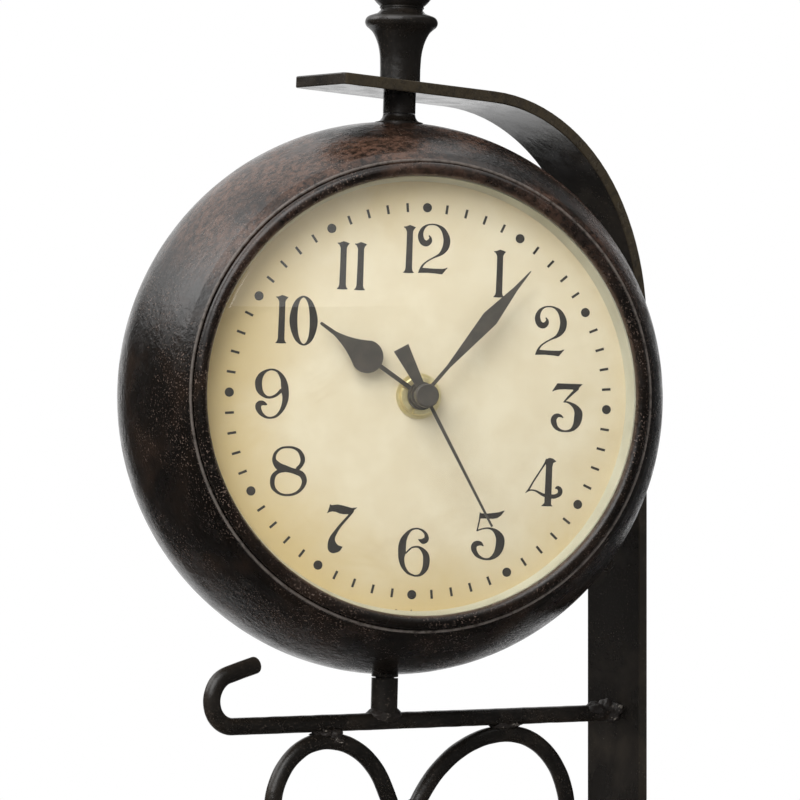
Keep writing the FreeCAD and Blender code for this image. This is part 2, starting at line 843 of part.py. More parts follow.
def hour_hand():
    return hand(hour_blade(), hour_hub, hour_tube_radius, hour_level, hour_level)


def hour_tube():
    return ring(hour_tube_radius, hour_tube_radius - tube_wall, tube_root, hour_level + hour_hub[1])


def minute_hand():
    return hand(minute_blade(), minute_hub, minute_tube_radius, minute_level, minute_level - minute_hub_drop)


def minute_tube():
    top = minute_level - minute_hub_drop + minute_hub[1]
    return ring(minute_tube_radius, minute_tube_radius - tube_wall, tube_root - 1, top)


def second_hand():
    """Blade, cap and collet in one, closed over the end of its arbor."""
    radius, height = second_cap
    blade_shape = second_blade().extrude(Vec(0, 0, blade)).translated(Vec(0, 0, second_level))
    top = second_level + blade
    edge = 0.5
    cap = turned(outline((0, top), (radius, top), (radius, top + height - edge),
                         (radius - edge, top + height), (0, top + height)))
    collet = disc(collet_radius, second_level - 0.9, second_level)
    shape = blade_shape.fuse([cap, collet]).removeSplitter()
    return shape.cut(disc(second_arbor_radius, 0, top))


def second_arbor():
    return disc(second_arbor_radius, tube_root - 2, second_level + blade)


# ---- assembly ----------------------------------------------------------------------------------------

FACE_PIECES = {
    "bezel": bezel, "glass": glass, "dial_ring": dial_ring, "dial": dial, "dial_retainer": dial_retainer,
    "rubber_washer": rubber_washer, "dial_washer": dial_washer, "dial_nut": dial_nut,
    "movement_housing": movement_housing, "movement_cover": movement_cover, "set_button": set_button,
    "battery": battery, "battery_contacts": battery_contacts,
    "antenna_rod": antenna_rod, "antenna_coil": antenna_coil,
}

HANDS = {
    "hour_hand": (hour_hand, hour_angle), "hour_tube": (hour_tube, hour_angle),
    "minute_hand": (minute_hand, minute_angle), "minute_tube": (minute_tube, minute_angle),
    "second_hand": (second_hand, second_angle), "second_arbor": (second_arbor, second_angle),
}

HEAD_PIECES = {
    "case_shell": case_shell, "case_hoop": case_hoop, "case_screw": lambda: at_case_screw(case_screw()),
    "spindle": spindle, "pivot": pivot, "bolt_washers": bolt_washers, "stem_collar": stem_collar,
    "finial": finial,
}

BRACKET_PIECES = {
    "wall_strap": wall_strap, "bottom_rail": bottom_rail, "front_scroll": front_scroll,
    "rear_scroll": rear_scroll, "upper_stem": upper_stem, "lower_socket": lower_socket,
}


def build():
    """Every node of the clock by name."""
    nodes = {name: make() for name, make in {**BRACKET_PIECES, **HEAD_PIECES}.items()}
    for side in SIDES:
        for name, make in FACE_PIECES.items():
            nodes[f"{side}_{name}"] = facing(make(), side)
        for name, (make, angle) in HANDS.items():
            set_hand = make().rotated(Vec(0, 0, 0), Vec(0, 0, 1), -angle - dial_set[side])
            nodes[f"{side}_{name}"] = facing(set_hand, side)
    return nodes


os.makedirs("parts", exist_ok=True)
for node, shape in build().items():
    shape.exportStep(os.path.join("parts", node + ".step"))
    print(node, "solids", len(shape.Solids), "valid", shape.isValid(), "volume", round(shape.Volume, 1))
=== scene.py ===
import math

import bpy
import numpy as np
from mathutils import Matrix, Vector


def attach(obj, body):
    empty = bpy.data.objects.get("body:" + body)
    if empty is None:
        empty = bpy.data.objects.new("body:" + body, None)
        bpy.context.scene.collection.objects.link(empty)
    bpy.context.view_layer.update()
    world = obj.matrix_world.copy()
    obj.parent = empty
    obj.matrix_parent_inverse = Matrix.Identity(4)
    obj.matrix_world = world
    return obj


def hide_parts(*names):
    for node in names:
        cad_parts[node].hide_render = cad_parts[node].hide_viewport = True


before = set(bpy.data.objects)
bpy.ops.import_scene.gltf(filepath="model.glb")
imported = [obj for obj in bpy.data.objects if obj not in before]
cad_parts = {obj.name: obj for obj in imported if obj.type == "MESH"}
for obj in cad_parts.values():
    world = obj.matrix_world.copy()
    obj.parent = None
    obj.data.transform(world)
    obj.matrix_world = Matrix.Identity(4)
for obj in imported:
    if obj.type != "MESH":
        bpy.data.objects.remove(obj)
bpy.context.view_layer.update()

# Double sided station clock on a scrolled wall bracket. Shapes are drawn in millimetres and placed in
# metres. The bracket stands in the plane y = 0 with its strap on the wall at x = 0. The head turns about
# an axis through x = -REACH that leans to the wall at its top. Face drawings have x to the viewer's right,
# y up and z out of the dial.

# The bracket: the head's axis from the wall, the strap, the round bars' radius, the rail's height at the
# axis and its slope in degrees, and where the scrolls touch it, from the axis towards the wall.
REACH = 107.4
STRAP_WIDTH, STRAP_THICKNESS = 27.4, 4.0
ROD = 3.0
RAIL_HEIGHT, RAIL_RISE = -111.0, 0.96
SMALL_SCROLL_PLACE, LARGE_SCROLL_PLACE = -29.4, 52.0
# The head: its turn and lean at rest and each dial's turn in it, in degrees, then radii, and levels out of
# the case's middle.
HEAD_TURN, HEAD_LEAN = -27.2, 1.9
DIAL_SET = {"front": 0.9, "rear": 0.0}
CASE_RADIUS = 95.0
SHEET = 1.2
BEZEL_LIP, BEZEL_EDGE, BEZEL_LEVEL, BEAD_HEIGHT = 73.42, 77.92, 48.22, 2.5
GLASS_LOW, GLASS_HIGH, GLASS_RISE = 46.52, 48.12, 10.5
SEAT_RADIUS = 75.9
DIAL_LEVEL = 40.018
FINIAL_SEAT = 108.4


# ---- curves ------------------------------------------------------------------------------------------

def arc(centre, radius, start, end, count):
    """Points on a circle: the centre plus radius times cosine and sine of even angles, in degrees."""
    angles = np.radians(np.linspace(start, end, count))
    return np.column_stack([centre[0] + radius * np.cos(angles), centre[1] + radius * np.sin(angles)])


def course(start, heading, *steps, spacing):
    """A chain of runs (length,) and tangent bends (radius, turn), left positive, as points and headings. A
    run is a length along the heading, and a bend an arc about the point that is a radius to its side."""
    at, points, headings = np.array(start, float), [np.array([start], float)], [[heading]]
    for size, *turn in steps:
        if not turn:
            count = max(int(size / spacing), 1)
            along = np.linspace(0, size, count + 1)[1:, None]
            way = np.array([math.cos(math.radians(heading)), math.sin(math.radians(heading))])
            points.append(at + along * way)
            headings.append(np.full(count, heading))
        else:
            sweep = turn[0]
            count = max(int(abs(math.radians(sweep)) * size / spacing), 6)
            side = math.copysign(1, sweep)
            facing = math.radians(heading + 90 * side)
            centre = at + size * np.array([math.cos(facing), math.sin(facing)])
            ring = arc(centre, size, heading - 90 * side, heading - 90 * side + sweep, count + 1)[1:]
            points.append(ring)
            headings.append(np.linspace(heading, heading + sweep, count + 1)[1:])
            heading += sweep
        at = points[-1][-1]
    return np.vstack(points), np.concatenate(headings)


def smooth_path(knots, count):
    """A Catmull-Rom curve through the knots. Each span is a cubic, and its slope at a knot is half the step
    from the knot before to the one after."""
    knots = np.array(knots, float)
    ends = np.vstack([2 * knots[0] - knots[1], knots, 2 * knots[-1] - knots[-2]])
    if np.allclose(knots[0, :2], knots[-1, :2]):
        ends[0], ends[-1] = knots[-2], knots[1]
    t = np.linspace(0, len(knots) - 1, count)
    span = np.minimum(t.astype(int), len(knots) - 2)
    t = (t - span)[:, None]
    before, here, there, after = (ends[span + step] for step in range(4))
    return 0.5 * (2 * here + (there - before) * t + (2 * before - 5 * here + 4 * there - after) * t ** 2
                  + (3 * here - 3 * there + after - before) * t ** 3)


def ripple(points, seed, pitch):
    """A smooth random height from -1 to 1: the mean of twelve sine waves of random direction and phase."""
    rng = np.random.default_rng(seed)
    ways = rng.normal(size=(12, 3))
    ways *= (2 * math.pi / pitch * rng.uniform(0.6, 1.6, 12) / np.linalg.norm(ways, axis=1))[:, None]
    return np.sin(points @ ways.T + rng.uniform(0, 2 * math.pi, 12)).mean(axis=-1) * 2


# ---- meshes ------------------------------------------------------------------------------------------

def quads(rows, columns, wrap_rows, wrap_columns):
    """Corner numbers of the squares of a grid whose points are numbered row by row."""
    i, j = np.meshgrid(np.arange(rows if wrap_rows else rows - 1),
                       np.arange(columns if wrap_columns else columns - 1), indexing="ij")
    below, right = (i + 1) % rows, (j + 1) % columns
    return np.stack([i * columns + j, i * columns + right, below * columns + right, below * columns + j],
                    axis=-1).reshape(-1, 4)


def volume(points, faces):
    """Signed volume inside the faces: a sixth of the sum of corner dot (corner cross corner)."""
    a, b, c = (points[faces[:, k]] for k in range(3))
    total = np.einsum("ij,ij->i", a, np.cross(b, c)).sum()
    if faces.shape[1] == 4:
        d = points[faces[:, 3]]
        total += np.einsum("ij,ij->i", a, np.cross(c, d)).sum()
    return total / 6


def solid(name, points, faces, sharp, wear_and_sheen=None, uv=None):
    """A closed mesh object from points in metres; its faces are turned round if their volume is negative.
    Edges are sharp past an angle, the bronze share of rubbing and painted sheen is a number at each point
    and uv its place on a flat drawing."""
    groups = [np.asarray(group) for group in faces if len(group)]
    if sum(volume(points, group) for group in groups) < 0:
        groups = [group[:, ::-1] for group in groups]
    loops = np.concatenate([group.ravel() for group in groups])
    sizes = np.concatenate([np.full(len(group), group.shape[1]) for group in groups])
    mesh = bpy.data.meshes.new(name)
    mesh.vertices.add(len(points))
    mesh.vertices.foreach_set("co", points.astype(np.float32).ravel())
    mesh.loops.add(len(loops))
    mesh.loops.foreach_set("vertex_index", loops.astype(np.int32))
    mesh.polygons.add(len(sizes))
    mesh.polygons.foreach_set("loop_start", np.concatenate([[0], np.cumsum(sizes)[:-1]]).astype(np.int32))
    mesh.update(calc_edges=True)
    if wear_and_sheen is not None:
        attribute = mesh.attributes.new("wear_and_sheen", "FLOAT", "POINT")
        attribute.data.foreach_set("value", wear_and_sheen.astype(np.float32).ravel())
    if uv is not None:
        mesh.uv_layers.new(name="drawing").data.foreach_set("uv", uv[loops].astype(np.float32).ravel())
    mesh.polygons.foreach_set("use_smooth", np.ones(len(sizes), bool))
    mesh.set_sharp_from_angle(angle=math.radians(sharp))
    mesh.validate()
    piece = bpy.data.objects.new(name, mesh)
    bpy.context.scene.collection.objects.link(piece)
    return piece


def capped_tube(rows, columns):
    """Faces of a grid wrapped round its columns, with a fan to one extra point at each end."""
    ring = np.arange(columns)
    after = (ring + 1) % columns
    base, first, last = (rows - 1) * columns, rows * columns, rows * columns + 1
    return [quads(rows, columns, False, True), np.column_stack([after, ring, np.full(columns, first)]),
            np.column_stack([base + ring, base + after, np.full(columns, last)])]


def turned(name, profile, place, around, sharp, wear_and_sheen=None):
    """A profile of (radius, height), a closed loop or one from axis to axis, carried round the z axis: x
    and y are the radius times the cosine and sine of the angle, and z is the height."""
    profile = np.array(profile, float)
    to_axis = profile[0, 0] < 1e-9
    body = profile[1:-1] if to_axis else profile
    angles = np.linspace(0, 2 * math.pi, around, endpoint=False)
    grid = np.stack([body[:, None, 0] * np.cos(angles), body[:, None, 0] * np.sin(angles),
                     np.repeat(body[:, None, 1], around, axis=1)], axis=-1).reshape(-1, 3)
    if to_axis:
        grid = np.vstack([grid, [[0, 0, profile[0, 1]], [0, 0, profile[-1, 1]]]])
        faces = capped_tube(len(body), around)
    else:
        faces = [quads(len(body), around, True, True)]
    if wear_and_sheen is not None:
        wear_and_sheen = np.repeat(wear_and_sheen, around)
    return solid(name, place(grid), faces, sharp, wear_and_sheen)


def forged(name, path, headings, section, sharp, uneven, seed):
    """A closed section carried along a path in the bracket's plane. Each point is the path's, plus across
    times the path's left, plus sideways along y, drawn in towards the middle by a smooth random share of
    uneven. section(i) gives across, sideways and the share of rubbing and painted sheen at the path's point
    i."""
    rows, wear_and_sheen = [], []
    for i, (x, z) in enumerate(path):
        across, sideways, worn_and_sheen = section(i)
        heading = math.radians(headings[i])
        rows.append(np.column_stack([x - across * math.sin(heading), sideways,
                                     z + across * math.cos(heading)]))
        wear_and_sheen.append(worn_and_sheen)
    grid = np.array(rows)
    middle = grid.mean(axis=1, keepdims=True)
    out = grid - middle
    out /= np.maximum(np.linalg.norm(out, axis=-1, keepdims=True), 1e-6)
    grid = grid + out * uneven * (ripple(grid, seed, pitch=9.0) - 1.0)[..., None]
    points = np.vstack([grid.reshape(-1, 3), middle[0], middle[-1]])
    worn_and_sheen = np.concatenate([np.array(wear_and_sheen).ravel(), [0, 0]])
    return solid(name, points / 1000, capped_tube(len(grid), grid.shape[1]), sharp, worn_and_sheen)


# ---- places ------------------------------------------------------------------------------------------

def on_axis(points):
    """From the head's own axis, in millimetres, to the shared frame in metres: leaned about y, then moved."""
    lean = math.radians(HEAD_LEAN)
    x, y, z = np.moveaxis(np.asarray(points, float), -1, 0)
    across = x * math.cos(lean) + z * math.sin(lean)
    height = z * math.cos(lean) - x * math.sin(lean)
    leaned = np.stack([across, y, height], axis=-1)
    return (leaned + [-REACH, 0, 0]) / 1000


def rail_at(place):
    """A point of the rail's centre line: its place along the slope, from the point under the axis."""
    rise = math.radians(RAIL_RISE)
    return np.array([place * math.cos(rise) - REACH, RAIL_HEIGHT - place * math.sin(rise)])


def under_rail(place):
    """The centre of a scroll's rod where it touches the rail from below: two radii square to the rail."""
    rise = math.radians(RAIL_RISE)
    return rail_at(place) - 2 * ROD * np.array([math.sin(rise), math.cos(rise)])


def on_face(side):
    """A placing for one face: x goes along the dial, y up and z out of it, turned with the head at rest."""
    turn = math.radians(HEAD_TURN)
    sign = 1 if side == "front" else -1
    right = np.array([math.cos(turn), math.sin(turn), 0]) * sign
    out = np.array([math.sin(turn), -math.cos(turn), 0]) * sign

    def place(points):
        """From the face's drawing, in millimetres, to metres."""
        x, y, z = np.split(np.asarray(points), 3, axis=-1)
        return on_axis(x * right + y * np.array([0, 0, 1]) + z * out)
    return place


def ride(piece, body, material, *nodes):
    """Gives a piece its material and its body, and takes the place of the nodes that it stands for."""
    piece.data.materials.append(material)
    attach(piece, body)
    if nodes:
        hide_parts(*nodes)


# ---- finishes ----------------------------------------------------------------------------------------

class Finish:
    """A material built one node at a time; sockets are named as Blender names them."""

    def __init__(self, name):
        """Starts an empty material."""
        self.material = bpy.data.materials.new(name)
        self.material.use_nodes = True
        self.tree = self.material.node_tree
        self.tree.nodes.clear()

    def node(self, kind, sockets=None, **settings):
        """A node with its sockets linked or set."""
        node = self.tree.nodes.new("ShaderNode" + kind)
        for key, value in settings.items():
            setattr(node, key, value)
        for key, value in (sockets or {}).items():
            socket = node.inputs[key]
            if isinstance(value, bpy.types.NodeSocket):
                self.tree.links.new(value, socket)
            else:
                socket.default_value = value
        return node

    def where(self):
        """The place on the object, in metres."""
        return self.node("TexCoord").outputs["Object"]

    def noise(self, scale, detail=4.0, rough=0.55, at=None, warp=0.0):
        """Smooth noise with scale waves to a metre."""
        return self.node("TexNoise", {"Vector": at or self.where(), "Scale": scale, "Detail": detail,
                                      "Roughness": rough, "Distortion": warp}).outputs["Fac"]

    def band(self, value, low, high, to_low=0.0, to_high=1.0, smooth=True):
        """Maps a value between two limits, with nothing beyond them."""
        return self.node("MapRange", {"Value": value, "From Min": low, "From Max": high, "To Min": to_low,
                                      "To Max": to_high},
                         interpolation_type="SMOOTHSTEP" if smooth else "LINEAR").outputs["Result"]

    def sum(self, operation, a, b=0.0, c=0.0):
        """One step of arithmetic."""
        return self.node("Math", {0: a, 1: b, 2: c}, operation=operation).outputs[0]

    def blend(self, share, a, b):
        """The colour a, with b over it by a share."""
        node = self.node("Mix", {0: share}, data_type="RGBA")
        for socket, value in ((node.inputs[6], a), (node.inputs[7], b)):
            if isinstance(value, bpy.types.NodeSocket):
                self.tree.links.new(value, socket)
            else:
                socket.default_value = (*value, 1.0)
        return node.outputs[2]

    def bump(self, height, depth, strength=1.0, under=None):
        """Relief from a height, over the relief beneath it."""
        sockets = {"Height": height, "Distance": depth, "Strength": strength}
        if under is not None:
            sockets["Normal"] = under
        return self.node("Bump", sockets).outputs["Normal"]

    def worn_and_sheen(self):
        """The mesh's bronze share at the place: rubbing, plus painted highlight and painted reflection."""
        return self.node("Attribute", attribute_name="wear_and_sheen").outputs["Fac"]

    def surface(self, **sockets):
        """The main shader; a word's underscores stand for spaces."""
        inputs = {key.replace("_", " "): value for key, value in sockets.items()}
        if isinstance(inputs["Base Color"], tuple):
            inputs["Base Color"] = (*inputs["Base Color"], 1.0)
        shader = self.node("BsdfPrincipled", inputs).outputs[0]
        self.finish(shader)
        return shader

    def finish(self, shader):
        """Makes a shader the one that shows."""
        for old in [node for node in self.tree.nodes if node.type == "OUTPUT_MATERIAL"]:
            self.tree.nodes.remove(old)
        self.node("OutputMaterial", {"Surface": shader})


def antiqued_paint(name, dark, brown, bronze, speckle, gloss, grain, freckles, across=None, copper=0.0):
    """Near black gloss paint with brown clouds, bronze in marked places, freckles of undercoat and pits. With
    across given, the bronze is rubbing at that distance from the bracket's plane, in metres, and more towards
    the arm; otherwise its share comes from the mesh: partly rubbing, partly painted highlight and reflection.
    Copper is the share of copper colour in patches towards the top: partly copper showing through rubbing,
    partly a painted sheen of the light from above."""
    f = Finish(name)
    split = f.node("SeparateXYZ", {"Vector": f.where()})
    clouds = f.band(f.noise(34.0, 6.0, 0.62, warp=0.4), 0.42, 0.72)
    colour = f.blend(clouds, dark, brown)
    streaks = f.noise(420.0, 5.0, 0.7, warp=0.3)
    # Copper colour in patches over the upper part: partly copper showing through rubbing, partly a painted
    # sheen of light from above.
    if copper:
        height = f.band(split.outputs["Z"], 0.01, 0.075)
        patches = f.band(f.noise(34.0, 4.0, 0.6), 0.36, 0.60)
        share = f.sum("MULTIPLY", f.sum("MULTIPLY", height, patches), f.band(streaks, 0.36, 0.62))
        colour = f.blend(f.sum("MULTIPLY", share, copper), colour, (0.15, 0.080, 0.054))
    spots = f.sum("MULTIPLY", f.band(f.noise(1500.0, 2.0, 0.6), freckles, freckles + 0.07),
                  f.band(f.noise(48.0, 5.0, 0.6), 0.38, 0.62))
    if across:
        edge = f.band(f.sum("ABSOLUTE", split.outputs["Y"]), across - 0.0006, across - 0.0002)
        worn_and_sheen = f.sum("MULTIPLY", edge, f.band(split.outputs["Z"], -0.02, 0.07, 0.15, 0.85))
    else:
        worn_and_sheen = f.worn_and_sheen()
    # The bronze share: rubbing, plus painted highlights and painted reflections where the mesh marks them.
    rubbed_and_sheen = f.sum("MULTIPLY", worn_and_sheen, f.band(streaks, 0.28, 0.60, 0.25, 1.0))
    colour = f.blend(rubbed_and_sheen, f.blend(spots, colour, speckle), bronze)
    rough = f.sum("ADD", f.band(f.noise(150.0, 4.0), 0.3, 0.7, gloss - 0.05, gloss + 0.09),
                  f.sum("MULTIPLY", f.sum("MAXIMUM", spots, rubbed_and_sheen), 0.15))
    pits = f.bump(f.noise(520.0, 5.0, 0.62), 0.0005, grain)
    waves = f.bump(f.noise(90.0, 3.0), 0.0008, grain * 0.7, under=pits)
    f.surface(Base_Color=colour, Roughness=rough, Normal=waves, Specular_IOR_Level=0.38)
    return f.material


def dial_paper():
    """Cream paper, mottled and tanned in from the rim, more so at the left and at the bottom."""
    f = Finish("dial_paper")
    drawing = f.node("UVMap", uv_map="drawing").outputs["UV"]
    centred = f.node("Mapping", {"Vector": drawing, "Location": (-0.5, -0.5, 0.0)}).outputs["Vector"]
    split = f.node("SeparateXYZ", {"Vector": centred})
    radius = f.node("VectorMath", {0: centred}, operation="LENGTH").outputs["Value"]
    lean = f.sum("MULTIPLY_ADD", split.outputs["X"], -0.20, f.sum("MULTIPLY", split.outputs["Y"], -0.10))
    cloud = f.noise(5.0, 6.0, 0.62, at=centred, warp=0.5)
    reach = f.sum("ADD", f.sum("ADD", radius, lean), f.band(cloud, 0.2, 0.8, -0.09, 0.09, False))
    tan = f.band(reach, 0.24, 0.54)
    drift = f.band(f.noise(9.0, 5.0, 0.6, at=centred), 0.35, 0.7)
    pale = f.blend(drift, (0.78, 0.665, 0.475), (0.84, 0.735, 0.55))
    colour = f.blend(tan, pale, (0.66, 0.50, 0.25))
    stain = f.band(f.noise(3.2, 7.0, 0.7, at=centred, warp=1.2), 0.52, 0.75)
    colour = f.blend(f.sum("MULTIPLY", stain, 0.30), colour, (0.60, 0.46, 0.27))
    flecks = f.sum("MULTIPLY", f.band(f.noise(160.0, 2.0, at=centred), 0.66, 0.74), 0.18)
    colour = f.blend(flecks, colour, (0.42, 0.30, 0.17))
    f.surface(Base_Color=colour, Roughness=f.band(cloud, 0.3, 0.7, 0.50, 0.62),
              Normal=f.bump(f.noise(260.0, 3.0, at=centred), 0.00008, 0.15))
    return f.material


def dial_ink():
    """Dark warm print, a little thinner in places."""
    f = Finish("dial_ink")
    thin = f.band(f.noise(130.0, 4.0, 0.6), 0.35, 0.75)
    f.surface(Base_Color=f.blend(thin, (0.019, 0.014, 0.010), (0.040, 0.029, 0.021)), Roughness=0.6)
    return f.material


def clear_glass():
    """Clear glass that lets the lamps through to the dial, with a faint ripple."""
    f = Finish("clear_glass")
    shader = f.surface(Base_Color=(0.97, 0.985, 0.975), Roughness=0.0, IOR=1.46, Transmission_Weight=1.0,
                       Normal=f.bump(f.noise(14.0, 1.0), 0.0002, 0.06))
    lit = f.node("BsdfTransparent", {"Color": (0.95, 0.96, 0.95, 1.0)}).outputs[0]
    mix = f.node("MixShader", {0: f.node("LightPath").outputs["Is Shadow Ray"], 1: shader, 2: lit})
    f.finish(mix.outputs[0])
    return f.material


def plain_finish(name, low, high, scale, rough, metal=0.0, grain=0.15):
    """One colour drifting to another over a noise of a given scale, with a bump of a finer noise."""
    f = Finish(name)
    drift = f.noise(scale, 5.0, 0.6)
    f.surface(Base_Color=f.blend(f.band(drift, 0.3, 0.7), low, high), Metallic=metal,
              Roughness=f.band(drift, 0.3, 0.7, rough[0], rough[1]),
              Normal=f.bump(f.noise(scale * 6, 3.0), 0.0002, grain))
    return f.material


def weld_metal():
    """Lumpy weld: dark paint that misses the crests, where bright metal shows."""
    f = Finish("weld_metal")
    lumps = f.noise(420.0, 4.0, 0.65, warp=0.6)
    bare = f.band(lumps, 0.58, 0.68)
    colour = f.blend(bare, f.blend(f.noise(90.0), (0.012, 0.010, 0.009), (0.035, 0.026, 0.020)),
                     (0.36, 0.32, 0.27))
    f.surface(Base_Color=colour, Roughness=f.band(lumps, 0.4, 0.7, 0.5, 0.28),
              Metallic=f.sum("MULTIPLY", bare, 0.2), Normal=f.bump(lumps, 0.0014, 0.8))
    return f.material


# ---- head --------------------------------------------------------------------------------------------

def case_profile():
    """Half of the case in section, and its bronze share: three bends and a run from its middle out to the
    mouth, round the rolled edge, and back a sheet's thickness further in. The share falls off from the roll's
    crest: a line of rubbing there, partly a painted highlight along the rolled edge."""
    bends, mouth = ((45.0, 16.0), (180.0, 10.0), (3.0, 11.0)), 5.8
    roll_radius, roll_shift, crest_angle, crest_reach = 0.8, 0.4, math.radians(75), 0.45
    outside, headings = course((CASE_RADIUS, 0), 90, *bends, (mouth,), spacing=1.2)
    left = np.column_stack([-np.sin(np.radians(headings)), np.cos(np.radians(headings))])
    inside = (outside + SHEET * left)[::-1]
    bead = np.array([outside[-1, 0] + roll_shift, outside[-1, 1]])
    rolled = arc(bead, roll_radius, -76.6, 200, 22)
    clear_of_bead = np.linalg.norm(outside - bead, axis=1) > roll_radius + 0.05
    profile = np.vstack([outside[clear_of_bead], rolled, inside[:-1]])
    # A bronze line along the crest: rubbing, and a painted highlight.
    crest = bead + roll_radius * np.array([math.cos(crest_angle), math.sin(crest_angle)])
    return profile, np.clip(1.5 - np.linalg.norm(profile - crest, axis=1) / crest_reach, 0, 1)


def case_body():
    """The case: the half section and its mirror image, carried round the dials' axis."""
    half, wear_and_sheen = case_profile()
    mirrored = (half * [1, -1])[::-1]
    loop = np.vstack([half[:-1], mirrored[:-1]])
    worn_and_sheen = np.concatenate([wear_and_sheen[:-1], wear_and_sheen[::-1][:-1]])
    return turned("case_body", loop, on_face("front"), around=288, sharp=30.0, wear_and_sheen=worn_and_sheen)


def bezel(side):
    """The bead round the dial: a little more than a half circle, on a skirt that enters the case. Its bronze
    share is a bell curve of the angle round the bead, about the inner side: partly rubbing, partly a painted
    reflection of the key lamp on the inner slope."""
    bead_radius, past_half, count = 2.2625, 6, 40
    shoulder, skirt_outside, skirt_inside, skirt_end, under_lip = 47.9, 77.0, 76.0, 35.7, 48.2
    bead = ((BEZEL_LIP + BEZEL_EDGE) / 2, BEZEL_LEVEL + BEAD_HEIGHT - bead_radius)
    top = arc(bead, bead_radius, 180 + past_half, -past_half, count)
    skirt = [(BEZEL_EDGE, shoulder), (skirt_outside, shoulder), (skirt_outside, skirt_end),
             (skirt_inside, skirt_end), (skirt_inside, under_lip)]
    profile = np.vstack([top, skirt])
    wear_and_sheen = np.zeros(len(profile))
    angles = np.linspace(180 + past_half, -past_half, count)
    # The bronze round the inner slope is partly rubbing and partly a painted reflection of the key lamp.
    wear_and_sheen[:count] = 0.75 * np.exp(-((angles - 160) / 24) ** 2)
    return turned(f"{side}_bezel_bead", profile, on_face(side), around=288, sharp=35.0, wear_and_sheen=wear_and_sheen)


def dome(radius, level, count, outward):
    """A cap of a sphere over a circle, from its edge to the middle, or back if not outward: the height is
    the sphere's centre plus the root of its radius squared less r squared."""
    sphere = (radius ** 2 + GLASS_RISE ** 2) / (2 * GLASS_RISE)
    r = np.linspace(radius, 0, count)
    z = level + GLASS_RISE - sphere + np.sqrt(sphere ** 2 - r ** 2)
    points = np.column_stack([r, z])
    return points if outward else points[::-1]


def glass(side):
    """The domed glass: two caps of a sphere, joined by a flat rim that lies in the bezel's seat."""
    inside = dome(BEZEL_LIP - 0.2, GLASS_LOW, 48, False)
    outside = dome(BEZEL_LIP - 0.1, GLASS_HIGH, 48, True)
    profile = np.vstack([inside, [(SEAT_RADIUS, GLASS_LOW), (SEAT_RADIUS, GLASS_HIGH)], outside])
    return turned(f"{side}_domed_glass", profile, on_face(side), around=192, sharp=25.0)


def dial_sheet(side):
    """The dial: a flat ring, drawn in rings of points, with flat coordinates for the paper's colours."""
    bore_radius, thickness, rings, around, drawing_width = 4.1, 0.8, 30, 128, 160
    radii = np.linspace(bore_radius, SEAT_RADIUS, rings)
    profile = np.vstack([np.column_stack([radii, np.full(rings, DIAL_LEVEL)]),
                         np.column_stack([radii[::-1], np.full(rings, DIAL_LEVEL - thickness)])])
    angles = np.linspace(0, 2 * math.pi, around, endpoint=False)
    flat = np.stack([profile[:, None, 0] * np.cos(angles), profile[:, None, 0] * np.sin(angles),
                     np.repeat(profile[:, None, 1], around, axis=1)], axis=-1).reshape(-1, 3)
    return solid(f"{side}_dial_sheet", on_face(side)(flat), [quads(2 * rings, around, True, True)],
                 sharp=30.0, uv=flat[:, :2] / drawing_width + 0.5)


def slotted_nut(side):
    """The dial nut: a chamfered ring whose top drops in four slots, by the angle from a slot's middle."""
    low, outer, inner, height, chamfer = DIAL_LEVEL + 0.6, 6.6, 4.0, 2.3, 0.4
    first, half = 60, 7.5
    edges = []
    for slot in range(4):
        middle = first + 90 * slot
        edges += list(np.linspace(middle - 90 + half + 0.05, middle - half - 0.05, 12))
        edges += list(np.linspace(middle - half, middle + half, 5))
    angles = np.array(sorted(angle % 360 for angle in edges))
    offset = (angles - first + 45) % 90 - 45
    in_slot = np.abs(offset) <= half + 0.01
    top = low + height
    profile = np.array([(inner, low), (outer, low), (outer, low + 0.5 * height), (outer, top - chamfer),
                        (outer - chamfer, top), (inner + 0.3, top), (inner, top - 0.3)])
    z = np.repeat(profile[:, None, 1], len(angles), axis=1)
    z = np.where(in_slot & (z > low + 0.5 * height), low + 0.5 * height, z)
    turn = np.radians(angles)
    grid = np.stack([profile[:, None, 0] * np.cos(turn), profile[:, None, 0] * np.sin(turn), z], axis=-1)
    return solid(f"{side}_slotted_nut", on_face(side)(grid.reshape(-1, 3)),
                 [quads(len(profile), len(angles), True, True)], sharp=25.0)


# ---- print -------------------------------------------------------------------------------------------

